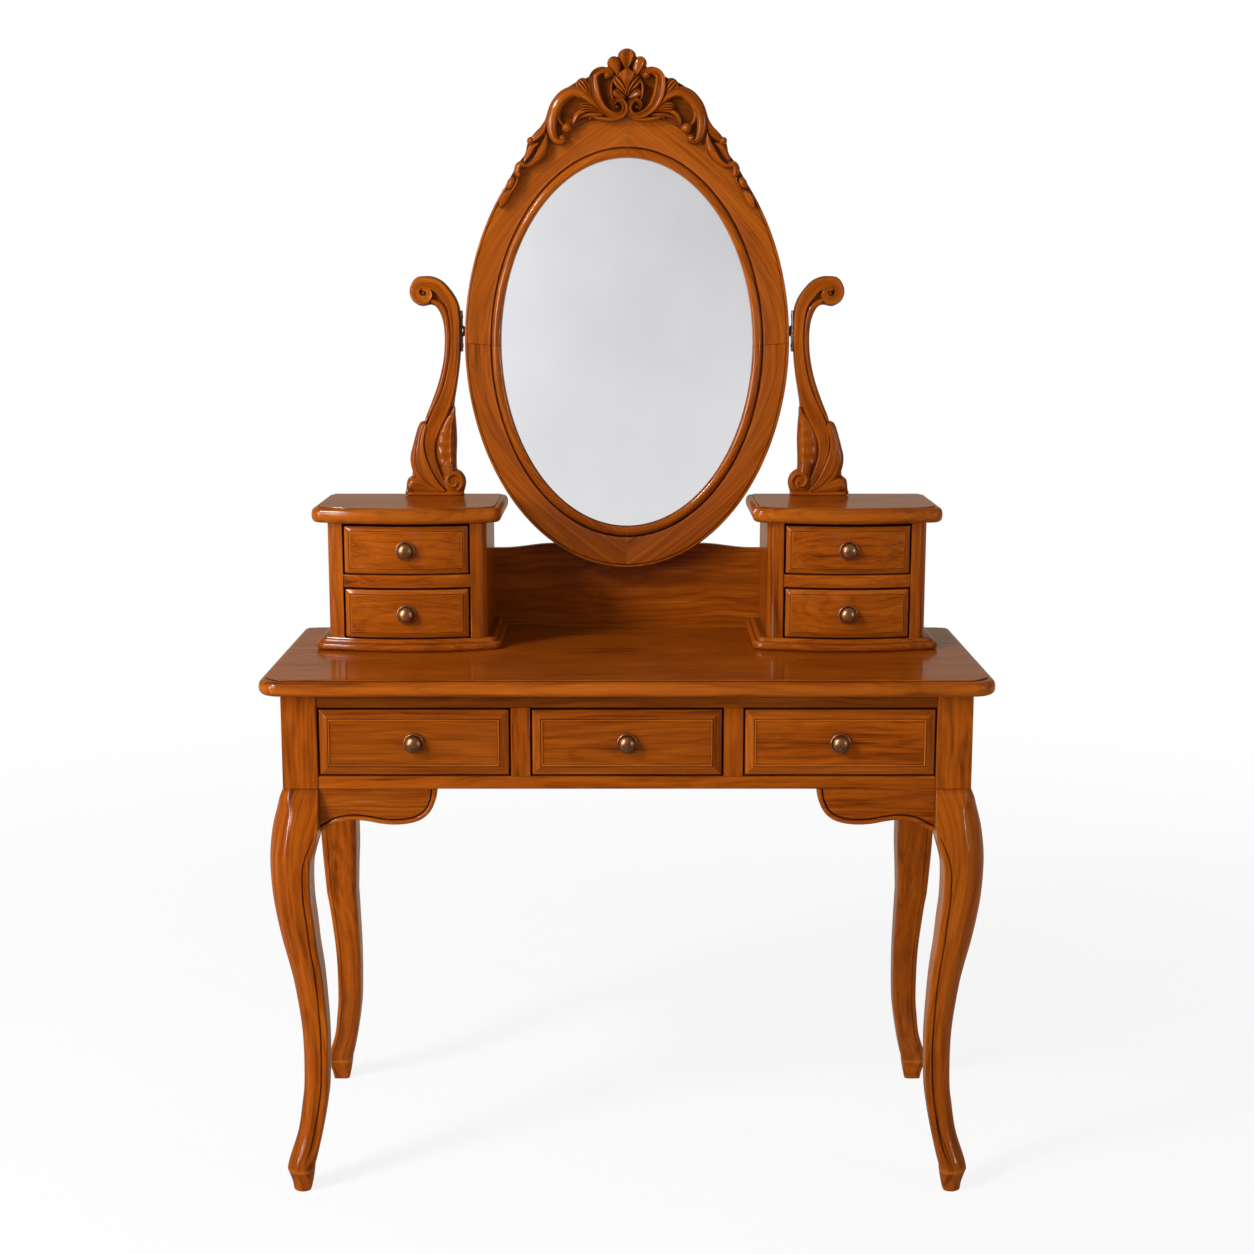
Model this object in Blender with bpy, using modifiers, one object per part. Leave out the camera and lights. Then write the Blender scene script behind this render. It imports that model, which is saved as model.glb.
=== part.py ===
"""Dressing table: three table drawers, two small two-drawer cabinets and a tilting oval mirror.

Metres, +Z up, front towards -Y. The origin is on the floor, under the middle of the whole table.
"""
import math

import bmesh
import bpy
from mathutils import Matrix, Vector

# Table top
TOP_WIDTH = 1.020
TOP_DEPTH = 0.442
TABLE_HEIGHT = 0.757
TOP_THICK = 0.022
TOP_EDGE_ROUND = 0.0095
TOP_FRONT_CORNER = 0.034
TOP_BACK_CORNER = 0.014

# How the frame stands under the top
SIDE_OVERHANG = 0.0295
FRONT_OVERHANG = 0.028
BACK_OVERHANG = 0.004
REAR_TOE_BEHIND_TOP = 0.028
POST_SIZE = 0.050
POST_CORNER = 0.003
RAKED_LEG_SHARE = 0.35
RAKE_POWER = 3
KNEE_FROM_SHARE = 0.5
TOE_LEVEL_SHARE = 0.051
TOE_OUT_SHARE = 0.210

# Drawer case between the posts
CASE_HEIGHT = 0.136
UPPER_RAIL_HEIGHT = 0.020
LOWER_RAIL_HEIGHT = 0.018
RAIL_THICK = 0.022
RAIL_SETBACK = 0.001
APRON_THICK = 0.018
APRON_SETBACK = 0.006
DIVIDER_WIDTH = 0.027
PARTITION_THICK = 0.018
DRAWER_BOARD_THICK = 0.012

# Corner brackets
BRACKET_LENGTH = 0.165
BRACKET_DROP = 0.062
BRACKET_THICK = 0.020

# Table drawers
DRAWER_REVEAL = 0.0015
DRAWER_FRONT_THICK = 0.016
DRAWER_FRONT_PROUD = 0.001
FIELD_BEVEL = 0.014
FIELD_RISE = 0.0045
FIELD_BEAD = 0.0015
FIELD_SINK = 0.0010
DRAWER_SIDE_THICK = 0.010
DRAWER_SIDE_SETBACK = 0.001
DRAWER_SIDE_LOWER = 0.012
DRAWER_BOTTOM_THICK = 0.005
DRAWER_BOTTOM_LIFT = 0.006
DRAWER_BACK_ROOM = 0.012
RUNNING_CLEARANCE = 0.0006

# Knobs
KNOB_PLATE_RADIUS = 0.0145
KNOB_PLATE_THICK = 0.003
KNOB_NECK_RADIUS = 0.0065
KNOB_DOME_RADIUS = 0.0115
KNOB_LENGTH = 0.0205

# Cabinets on the top
CABINET_CENTRE_FROM_FRAME = 0.0785
CABINET_TOP_HALF = 0.140
CABINET_BASE_HALF = 0.138
CABINET_BODY_HALF = 0.1175
CABINET_HEIGHT = 0.213
CABINET_TOP_THICK = 0.0235
CABINET_TOP_ROUND = 0.009
CABINET_BASE_HEIGHT = 0.018
CABINET_BASE_ROUND = 0.006
CABINET_CORNER = 0.020
CABINET_BOW = 0.028
CABINET_FROM_FRONT = 0.211
CABINET_BASE_SETBACK = 0.0025
CABINET_BODY_SETBACK = 0.015
CABINET_SIDE_THICK = 0.016
COLUMN_WIDTH = 0.024
COLUMN_DEPTH = 0.026
COLUMN_ROUND = 0.018
CABINET_BACK_THICK = 0.008
SHELF_RAIL_HEIGHT = 0.019
SHELF_RAIL_DEPTH = 0.020
SHELF_THICK = 0.008

# Small drawers
SMALL_DRAWER_TOP_ROOM = 0.003
SMALL_FIELD_BEVEL = 0.0085
SMALL_FIELD_RISE = 0.0035
SMALL_FRONT_THICK = 0.014
SMALL_SIDE_THICK = 0.008
SMALL_BOTTOM_THICK = 0.006
SMALL_BACK_ROOM = 0.008

# Splash panel
SPLASH_THICK = 0.015
SPLASH_HEIGHT = 0.127
SPLASH_WING_RISE = 0.007
SPLASH_WING_FROM_SHARE = 0.88
SPLASH_WING_PEAK_SHARE = 0.52
SPLASH_SCOOP_GAP = 0.007
SPLASH_LAP = 0.013
SPLASH_FROM_BACK = 0.003

# Mirror
FRAME_HALF_WIDTH = 0.2465
FRAME_HALF_HEIGHT = 0.3455
FRAME_CENTRE_BELOW_PIVOT = 0.0165
MOULDING_SIDE_WIDTH = 0.055
MOULDING_END_WIDTH = 0.0675
GLASS_CENTRE_BELOW_PIVOT = 0.021
FRAME_DEPTH = 0.025
FRAME_FRONT_TO_SPLASH = 0.038
LIP_RISE = 0.004
REBATE_WIDTH = 0.008
REBATE_DEPTH = 0.0165
GLASS_THICK = 0.004
BACKING_THICK = 0.006
GLASS_EDGE_ROOM = 0.001

# Crest
CREST_ABOVE_FRAME = 0.085
CREST_HALF_WIDTH = 0.196
CREST_HEIGHT = 0.227
CREST_RELIEF = 0.019
CREST_BACKING = 0.020

# Scroll arms and pivots
ARM_OUTER_FROM_FRAME = 0.0949
ARM_WIDTH = 0.0917
ARM_HEIGHT = 0.3335
ARM_THICK = 0.026
ARM_EDGE = 0.005
PIVOT_ABOVE_CABINET = 0.251
PIVOT_PLATE_THICK = 0.003
PIVOT_PLATE_HEIGHT = 0.062
PIVOT_PLATE_DEPTH = 0.016
PIVOT_COLLAR_RADIUS = 0.0075
PIVOT_PIN_RADIUS = 0.004
PIVOT_PIN_IN_FRAME = 0.018
PIVOT_CLEARANCE = 0.0005

# Gap that stands between faces that touch, and how far a cut runs past a face
TOUCH = 0.0003
CUT_OVER = 0.004
MERGE = 0.00001

# How finely round things are divided
CORNER_STEPS = 4
LEG_CORNER_STEPS = 2
BOW_STEPS = 8
OVAL_STEPS = 64
SPLASH_STEPS = 40
KNOB_STEPS = 14
PIN_STEPS = 24
OUTLINE_RESOLUTION = 2
EDGE_RESOLUTION = 1
SHARP_ANGLE = 35.0

# Leg from floor to shoulder: height share of the shoulder's height, then as shares of the post how
# far the outer face stands outside the post, how wide the leg is, and its corner radius.
LEG_SHARES = (
    (0.000, 0.050, 0.550, 0.220),
    (0.021, 0.100, 0.670, 0.260),
    (TOE_LEVEL_SHARE, TOE_OUT_SHARE, 0.840, 0.280),
    (0.081, 0.145, 0.860, 0.280),
    (0.142, -0.085, 0.780, 0.260),
    (0.203, -0.195, 0.800, 0.260),
    (0.263, -0.265, 0.810, 0.260),
    (0.384, -0.255, 0.855, 0.260),
    (0.502, -0.100, 0.965, 0.270),
    (0.561, 0.025, 1.050, 0.280),
    (0.620, 0.170, 1.130, 0.290),
    (0.678, 0.290, 1.210, 0.300),
    (0.736, 0.380, 1.245, 0.300),
    (0.795, 0.425, 1.290, 0.300),
    (0.852, 0.425, 1.340, 0.300),
    (0.910, 0.345, 1.335, 0.280),
    (0.967, 0.170, 1.160, 0.200),
    (0.990, 0.090, 1.080, 0.140),
)

# Lower edge of a bracket: share of its length from the leg, and share of its drop.
BRACKET_SHARES = (
    (0.00, 1.00), (0.07, 0.90), (0.17, 0.77), (0.29, 0.725), (0.41, 0.755), (0.53, 0.815), (0.64, 0.835),
    (0.75, 0.81), (0.85, 0.73), (0.93, 0.56), (0.98, 0.30), (1.00, 0.00),
)

# Scroll arm seen from the front: share of its width from the outer side, share of its height. The
# pivot's plate is fixed to the stem where it reaches furthest inwards.
ARM_STEM_SHARE = 0.960
ARM_SHARES = (
    (0.120, 0.940), (0.155, 0.967), (0.255, 0.991), (0.415, 1.000), (0.575, 0.990), (0.720, 0.960),
    (0.850, 0.915), (0.935, 0.865), (0.953, 0.824), (ARM_STEM_SHARE, 0.755), (0.953, 0.686), (0.916, 0.590),
    (0.867, 0.490), (0.827, 0.407), (0.850, 0.350), (0.864, 0.257), (0.852, 0.177), (0.862, 0.113),
    (0.950, 0.097), (1.000, 0.055), (0.965, 0.013), (0.900, 0.000), (0.060, 0.000), (0.008, 0.030),
    (0.030, 0.073), (0.115, 0.098), (0.080, 0.157), (0.098, 0.204), (0.156, 0.233), (0.195, 0.297),
    (0.254, 0.334), (0.325, 0.342), (0.375, 0.345), (0.503, 0.400), (0.606, 0.470), (0.680, 0.564),
    (0.698, 0.650), (0.697, 0.738), (0.650, 0.811), (0.568, 0.857), (0.475, 0.870), (0.320, 0.864),
    (0.187, 0.883), (0.122, 0.915),
)

# Right half of the crest: share of its half width, share of its height down from the top. The outer
# edge comes first, from the top lobe to the tip of the garland, and then the inner edge.
CREST_OUTER_SHARES = (
    (0.000, 0.000), (0.040, 0.008), (0.068, 0.028), (0.076, 0.048), (0.108, 0.050), (0.140, 0.070),
    (0.153, 0.097), (0.150, 0.122), (0.200, 0.119), (0.253, 0.132), (0.291, 0.160), (0.308, 0.183),
    (0.355, 0.182), (0.406, 0.197), (0.444, 0.230), (0.500, 0.252), (0.563, 0.295), (0.606, 0.350),
    (0.633, 0.435), (0.670, 0.502), (0.722, 0.550), (0.762, 0.556), (0.783, 0.590), (0.776, 0.625),
    (0.805, 0.695), (0.853, 0.712), (0.880, 0.763), (0.873, 0.796), (0.917, 0.812), (0.941, 0.855),
    (0.932, 0.888), (0.980, 0.933), (1.000, 0.970), (0.989, 1.000),
)
CREST_INNER_SHARES = (
    (0.917, 0.938), (0.861, 0.880), (0.822, 0.800), (0.797, 0.762), (0.720, 0.745), (0.653, 0.696),
    (0.610, 0.628), (0.568, 0.597), (0.500, 0.597), (0.461, 0.560), (0.414, 0.514), (0.321, 0.470),
    (0.227, 0.440), (0.142, 0.447), (0.074, 0.436), (0.000, 0.398),
)

# Mirror frame's front from the glass outwards: share of the moulding's width, share of the lip's rise.
MOULDING_SHARES = (
    (0.00, 0.0), (0.06, 1.0), (0.20, 1.0), (0.26, -0.5), (0.31, 0.0), (0.95, 0.0), (1.00, -1.0),
)

# Knob: share of the dome's radius, share of the knob's length in front of its plate.
KNOB_DOME_SHARES = ((0.00, 1.00), (0.42, 0.965), (0.76, 0.83), (0.95, 0.62), (1.00, 0.45), (0.90, 0.28))
KNOB_NECK_END_SHARE = 0.16

# Places worked out from the sizes above
FRONT_EDGE_Y = -(TOP_DEPTH + REAR_TOE_BEHIND_TOP) / 2
BACK_EDGE_Y = FRONT_EDGE_Y + TOP_DEPTH
POST_OUTER_X = TOP_WIDTH / 2 - SIDE_OVERHANG
POST_INNER_X = POST_OUTER_X - POST_SIZE
POST_FRONT_Y = FRONT_EDGE_Y + FRONT_OVERHANG
POST_BACK_Y = BACK_EDGE_Y - BACK_OVERHANG
TOP_UNDER_Z = TABLE_HEIGHT - TOP_THICK
CASE_TOP_Z = TOP_UNDER_Z - TOUCH
CASE_LOW_Z = TOP_UNDER_Z - CASE_HEIGHT
SHOULDER_Z = CASE_LOW_Z - TOUCH
RAIL_FACE_Y = POST_FRONT_Y + RAIL_SETBACK
RAIL_BACK_Y = RAIL_FACE_Y + RAIL_THICK
BOARD_TOP_Z = CASE_LOW_Z + LOWER_RAIL_HEIGHT
OPENING_TOP_Z = TOP_UNDER_Z - UPPER_RAIL_HEIGHT
CASE_HALF = POST_INNER_X - TOUCH
APRON_OUTER_X = POST_OUTER_X - APRON_SETBACK
BACK_APRON_Y = POST_BACK_Y - APRON_SETBACK - APRON_THICK
DRAWER_PITCH = (2 * POST_INNER_X + DIVIDER_WIDTH) / 3
DRAWER_WIDTH = DRAWER_PITCH - DIVIDER_WIDTH - 2 * DRAWER_REVEAL
DIVIDER_X = DRAWER_PITCH / 2

CABINET_CENTRE = FRAME_HALF_WIDTH + CABINET_CENTRE_FROM_FRAME
SPLASH_BACK_Y = BACK_EDGE_Y - SPLASH_FROM_BACK
SPLASH_FRONT_Y = SPLASH_BACK_Y - SPLASH_THICK
CABINET_BACK_Y = SPLASH_FRONT_Y - TOUCH
CABINET_LOW_Z = TABLE_HEIGHT + TOUCH
CABINET_TOP_Z = TABLE_HEIGHT + CABINET_HEIGHT
CABINET_UNDER_Z = CABINET_TOP_Z - CABINET_TOP_THICK
CABINET_FLOOR_Z = TABLE_HEIGHT + CABINET_BASE_HEIGHT
CABINET_TOP_FRONT_Y = FRONT_EDGE_Y + CABINET_FROM_FRONT
CABINET_BASE_FRONT_Y = CABINET_TOP_FRONT_Y + CABINET_BASE_SETBACK
CABINET_BODY_FRONT_Y = CABINET_TOP_FRONT_Y + CABINET_BODY_SETBACK
SMALL_OPENING_HALF = CABINET_BODY_HALF - COLUMN_WIDTH
SMALL_OPENING_HEIGHT = (CABINET_UNDER_Z - CABINET_FLOOR_Z - SHELF_RAIL_HEIGHT) / 2
SHELF_LOW_Z = CABINET_FLOOR_Z + SMALL_OPENING_HEIGHT
SHELF_TOP_Z = SHELF_LOW_Z + SHELF_RAIL_HEIGHT

FRAME_FRONT_Y = SPLASH_FRONT_Y - FRAME_FRONT_TO_SPLASH
FRAME_BACK_Y = FRAME_FRONT_Y + FRAME_DEPTH
REBATE_Y = FRAME_BACK_Y - REBATE_DEPTH
PIVOT_Y = FRAME_FRONT_Y + FRAME_DEPTH / 2
PIVOT_Z = CABINET_TOP_Z + PIVOT_ABOVE_CABINET
FRAME_CENTRE_Z = PIVOT_Z - FRAME_CENTRE_BELOW_PIVOT
GLASS_CENTRE_Z = PIVOT_Z - GLASS_CENTRE_BELOW_PIVOT
GLASS_HALF_WIDTH = FRAME_HALF_WIDTH - MOULDING_SIDE_WIDTH
GLASS_HALF_HEIGHT = FRAME_HALF_HEIGHT - MOULDING_END_WIDTH
CREST_TOP_Z = FRAME_CENTRE_Z + FRAME_HALF_HEIGHT + CREST_ABOVE_FRAME
ARM_OUTER_X = FRAME_HALF_WIDTH + ARM_OUTER_FROM_FRAME
ARM_INNER_STEM_X = ARM_OUTER_X - ARM_WIDTH * ARM_STEM_SHARE

PARTS = "dressing_table"
CUTTERS = "cutters"


def clear_scene():
    """Remove every object that the new scene starts with."""
    for obj in list(bpy.data.objects):
        bpy.data.objects.remove(obj, do_unlink=True)


def make_collection(name):
    """Make a collection of the scene and return it."""
    collection = bpy.data.collections.new(name)
    bpy.context.scene.collection.children.link(collection)
    return collection


def make_material(name, colour, roughness, metallic):
    """Principled material with one colour."""
    material = bpy.data.materials.new(name)
    material.use_nodes = True
    shader = material.node_tree.nodes["Principled BSDF"]
    shader.inputs["Base Color"].default_value = (*colour, 1.0)
    shader.inputs["Roughness"].default_value = roughness
    shader.inputs["Metallic"].default_value = metallic
    material.diffuse_color = (*colour, 1.0)
    return material


def mesh_object(name, bm, material):
    """Turn a bmesh into a part, with its faces pointing out."""
    bmesh.ops.recalc_face_normals(bm, faces=bm.faces)
    mesh = bpy.data.meshes.new(name)
    bm.to_mesh(mesh)
    bm.free()
    if material is not None:
        mesh.materials.append(material)
    obj = bpy.data.objects.new(name, mesh)
    home = PARTS if material is not None else CUTTERS
    bpy.data.collections[home].objects.link(obj)
    if material is None:
        obj.hide_render = True
        obj.display_type = "WIRE"
    return obj


def box(name, low, high, material):
    """Box between two corners. With no material it is a cutter."""
    low, high = Vector(low), Vector(high)
    size = high - low
    bm = bmesh.new()
    place = Matrix.Translation((low + high) / 2) @ Matrix.Diagonal((*size, 1.0))
    bmesh.ops.create_cube(bm, size=1.0, matrix=place)
    return mesh_object(name, bm, material)


def rod(name, start, end, radius, material):
    """Round bar along X between two points. With no material it is a cutter."""
    start, end = Vector(start), Vector(end)
    turn = Matrix.Rotation(math.pi / 2, 4, "Y")
    bm = bmesh.new()
    bmesh.ops.create_cone(
        bm, cap_ends=True, segments=PIN_STEPS, radius1=radius, radius2=radius,
        depth=(end - start).length, matrix=Matrix.Translation((start + end) / 2) @ turn,
    )
    return mesh_object(name, bm, material)


def boolean(obj, other, operation):
    """Cut, join or intersect a part with a cutter, which stays as a wire object."""
    step = obj.modifiers.new(other.name, "BOOLEAN")
    step.object = other
    step.operation = operation
    step.solver = "EXACT"


def plate(name, outline, plane, low, high, material, edge=0.0, smooth=False, flat_line=None):
    """Flat outline drawn in a plane and given a thickness from low to high across it.

    The plane is "XY" or "XZ". The edge rounds both rims, inside the outline. A smooth outline is a
    Bezier curve through its points, and stays straight along the height flat_line.
    """
    curve = bpy.data.curves.new(name, "CURVE")
    curve.dimensions = "2D"
    curve.fill_mode = "BOTH"
    curve.resolution_u = OUTLINE_RESOLUTION
    curve.extrude = (high - low) / 2 - edge
    curve.bevel_depth = edge
    curve.bevel_resolution = EDGE_RESOLUTION
    curve.offset = -edge
    spline = curve.splines.new("BEZIER" if smooth else "POLY")
    if smooth:
        spline.bezier_points.add(len(outline) - 1)
        for knot, (a, b) in zip(spline.bezier_points, outline):
            knot.co = (a, b, 0.0)
            handle = "VECTOR" if b == flat_line else "AUTO"
            knot.handle_left_type = handle
            knot.handle_right_type = handle
    else:
        spline.points.add(len(outline) - 1)
        for knot, (a, b) in zip(spline.points, outline):
            knot.co = (a, b, 0.0, 1.0)
    spline.use_cyclic_u = True

    middle = (high + low) / 2
    placing = {
        "XY": Matrix.Translation((0.0, 0.0, middle)),
        "XZ": Matrix.Translation((0.0, middle, 0.0)) @ Matrix.Rotation(math.pi / 2, 4, "X"),
    }
    drawn = bpy.data.objects.new(name + "_outline", curve)
    bpy.context.scene.collection.objects.link(drawn)
    bpy.context.view_layer.update()
    evaluated = drawn.evaluated_get(bpy.context.evaluated_depsgraph_get())
    mesh = bpy.data.meshes.new_from_object(evaluated)
    bm = bmesh.new()
    bm.from_mesh(mesh)
    bmesh.ops.remove_doubles(bm, verts=bm.verts, dist=MERGE)
    bmesh.ops.transform(bm, matrix=placing[plane], verts=bm.verts)
    bpy.data.objects.remove(drawn, do_unlink=True)
    bpy.data.meshes.remove(mesh)
    return mesh_object(name, bm, material)


def loft(name, rings, material, closed=False):
    """Skin rings of equal length one after the other, and cap the ends unless it closes on itself."""
    bm = bmesh.new()
    rows = [[bm.verts.new(point) for point in ring] for ring in rings]
    count = len(rings[0])
    pairs = list(zip(rows, rows[1:]))
    if closed:
        pairs.append((rows[-1], rows[0]))
    for lower, upper in pairs:
        for i in range(count):
            j = (i + 1) % count
            bm.faces.new((lower[i], lower[j], upper[j], upper[i]))
    if not closed:
        bm.faces.new(rows[0])
        bm.faces.new(rows[-1])
    return mesh_object(name, bm, material)


def arc(centre, radius, start, end, steps=CORNER_STEPS):
    """Points of an arc in a plane, from one angle in degrees to another."""
    points = []
    for k in range(steps + 1):
        angle = math.radians(start + (end - start) * k / steps)
        points.append((centre[0] + radius * math.cos(angle), centre[1] + radius * math.sin(angle)))
    return points


def shade_round(obj):
    """Shade a round part smooth and keep its real edges sharp."""
    obj.data.shade_smooth()
    obj.data.set_sharp_from_angle(angle=math.radians(SHARP_ANGLE))


def hang_on(pieces, name, place):
    """Parent the pieces of a moving body to an empty on its joint's axis."""
    empty = bpy.data.objects.new(name, None)
    empty.location = place
    empty.empty_display_size = POST_SIZE
    bpy.data.collections[PARTS].objects.link(empty)
    for piece in pieces:
        piece.parent = empty
        piece.matrix_parent_inverse = Matrix.Translation(-Vector(place))
    return empty


def make_table_top(wood):
    """Top board with round corners and a rounded edge."""
    half = TOP_WIDTH / 2
    outline = []
    for sign_x, y, sign_y, radius, start in (
        (-1, FRONT_EDGE_Y, 1, TOP_FRONT_CORNER, 180), (1, FRONT_EDGE_Y, 1, TOP_FRONT_CORNER, 270),
        (1, BACK_EDGE_Y, -1, TOP_BACK_CORNER, 0), (-1, BACK_EDGE_Y, -1, TOP_BACK_CORNER, 90),
    ):
        centre = (sign_x * (half - radius), y + sign_y * radius)
        outline += arc(centre, radius, start, start + 90)
    top = plate("table_top", outline, "XY", TOP_UNDER_Z, TABLE_HEIGHT, wood, edge=TOP_EDGE_ROUND)
    shade_round(top)


def leg_ring(centre_x, centre_y, z, width_x, width_y, corner):
    """Square with round corners at one height."""
    ring = []
    for quadrant in range(4):
        turn = quadrant * 90
        sign_x = 1 if quadrant in (0, 3) else -1
        sign_y = 1 if quadrant in (0, 1) else -1
        centre = (
            centre_x + sign_x * (width_x / 2 - corner),
            centre_y + sign_y * (width_y / 2 - corner),
        )
        ring += [(x, y, z) for x, y in arc(centre, corner, turn, turn + 90, LEG_CORNER_STEPS)]
    return ring


def make_leg(name, side, front, wood):
    """Cabriole leg with its post, as rings from the foot up to the top board.

    A rear leg bulges less at the knee and its lower part rakes backwards.
    """
    outward_y = -1 if front else 1
    face_y = POST_FRONT_Y if front else POST_BACK_Y
    toe_reach = REAR_TOE_BEHIND_TOP + BACK_OVERHANG
    rake = 0.0 if front else toe_reach - TOE_OUT_SHARE * POST_SIZE
    rings = []
    for level, out, wide, corner in LEG_SHARES:
        if not front and out > 0 and level > KNEE_FROM_SHARE:
            out = out * RAKED_LEG_SHARE
        lean = rake * min(1.0, (1.0 - level) / (1.0 - TOE_LEVEL_SHARE)) ** RAKE_POWER
        width = wide * POST_SIZE
        reach = out * POST_SIZE
        centre_x = side * (POST_OUTER_X + reach - width / 2)
        centre_y = face_y + outward_y * (reach + lean - width / 2)
        rings.append(leg_ring(centre_x, centre_y, level * SHOULDER_Z, width, width, corner * width))
    centre_x = side * (POST_OUTER_X - POST_SIZE / 2)
    centre_y = face_y - outward_y * POST_SIZE / 2
    for z in (SHOULDER_Z, CASE_TOP_Z):
        rings.append(leg_ring(centre_x, centre_y, z, POST_SIZE, POST_SIZE, POST_CORNER))
    shade_round(loft(name, rings, wood))


def make_case(wood, plain_wood):
    """Rails, dividers, aprons and the board that the table drawers slide on."""
    box("upper_rail", (-CASE_HALF, RAIL_FACE_Y, OPENING_TOP_Z), (CASE_HALF, RAIL_BACK_Y, CASE_TOP_Z), wood)
    box("lower_rail", (-CASE_HALF, RAIL_FACE_Y, CASE_LOW_Z), (CASE_HALF, RAIL_BACK_Y, BOARD_TOP_Z), wood)
    box(
        "drawer_board",
        (-CASE_HALF, RAIL_BACK_Y + TOUCH, BOARD_TOP_Z - DRAWER_BOARD_THICK),
        (CASE_HALF, BACK_APRON_Y - TOUCH, BOARD_TOP_Z), plain_wood,
    )
    box(
        "back_apron", (-CASE_HALF, BACK_APRON_Y, CASE_LOW_Z),
        (CASE_HALF, BACK_APRON_Y + APRON_THICK, CASE_TOP_Z), wood,
    )
    for side, name in ((-1, "left"), (1, "right")):
        # The side apron has a ledge at its foot that carries the edge of the drawer board.
        inner_x = APRON_OUTER_X - APRON_THICK
        profile = (
            (CASE_HALF + TOUCH, CASE_LOW_Z), (APRON_OUTER_X, CASE_LOW_Z), (APRON_OUTER_X, CASE_TOP_Z),
            (inner_x, CASE_TOP_Z), (inner_x, BOARD_TOP_Z), (CASE_HALF + TOUCH, BOARD_TOP_Z),
        )
        plate(
            name + "_apron", [(side * x, z) for x, z in profile], "XZ",
            POST_FRONT_Y + POST_SIZE + TOUCH, POST_BACK_Y - POST_SIZE - TOUCH, wood,
        )
        # The divider is a stile at the front with a thinner partition behind it.
        middle = side * DIVIDER_X
        stile, thin = DIVIDER_WIDTH / 2, PARTITION_THICK / 2
        outline = [
            (middle - stile, RAIL_FACE_Y), (middle + stile, RAIL_FACE_Y), (middle + stile, RAIL_BACK_Y),
            (middle + thin, RAIL_BACK_Y), (middle + thin, BACK_APRON_Y - TOUCH),
            (middle - thin, BACK_APRON_Y - TOUCH), (middle - thin, RAIL_BACK_Y),
            (middle - stile, RAIL_BACK_Y),
        ]
        plate(name + "_divider", outline, "XY", BOARD_TOP_Z + TOUCH, OPENING_TOP_Z - TOUCH, wood)
        # The bracket hangs under the lower rail, against the inner side of the front leg.
        inner = POST_INNER_X - TOUCH
        rail_under = CASE_LOW_Z - TOUCH
        shape = [(inner, rail_under)]
        shape += [(inner - BRACKET_LENGTH * u, rail_under - BRACKET_DROP * v) for u, v in BRACKET_SHARES]
        plate(
            name + "_bracket", [(side * x, z) for x, z in shape], "XZ",
            RAIL_FACE_Y, RAIL_FACE_Y + BRACKET_THICK, wood,
        )


def bow_y(front_y, offset):
    """Front line of a cabinet piece: furthest forward in the middle, falling back to the corners."""
    return front_y + CABINET_BOW * (offset / CABINET_TOP_HALF) ** 2


def bow_line(front_y, start, end):
    """Points along a bowed front between two offsets from the cabinet's middle."""
    points = []
    for k in range(BOW_STEPS + 1):
        offset = start + (end - start) * k / BOW_STEPS
        points.append((offset, bow_y(front_y, offset)))
    return points


def bowed_board(half, front_y):
    """Plan of a cabinet's top or base, with a bowed front and round front corners."""
    corner = CABINET_CORNER
    straight = half - corner
    corner_y = bow_y(front_y, straight)
    outline = [(half, CABINET_BACK_Y), (-half, CABINET_BACK_Y)]
    outline += arc((-straight, corner_y + corner), corner, 180, 270)
    outline += bow_line(front_y, -straight, straight)[1:-1]
    outline += arc((straight, corner_y + corner), corner, 270, 360)
    return outline


def shift(outline, side):
    """Move a cabinet plan, drawn about the cabinet's middle, to its side of the table."""
    return [(side * (CABINET_CENTRE + u), y) for u, y in outline]


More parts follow.
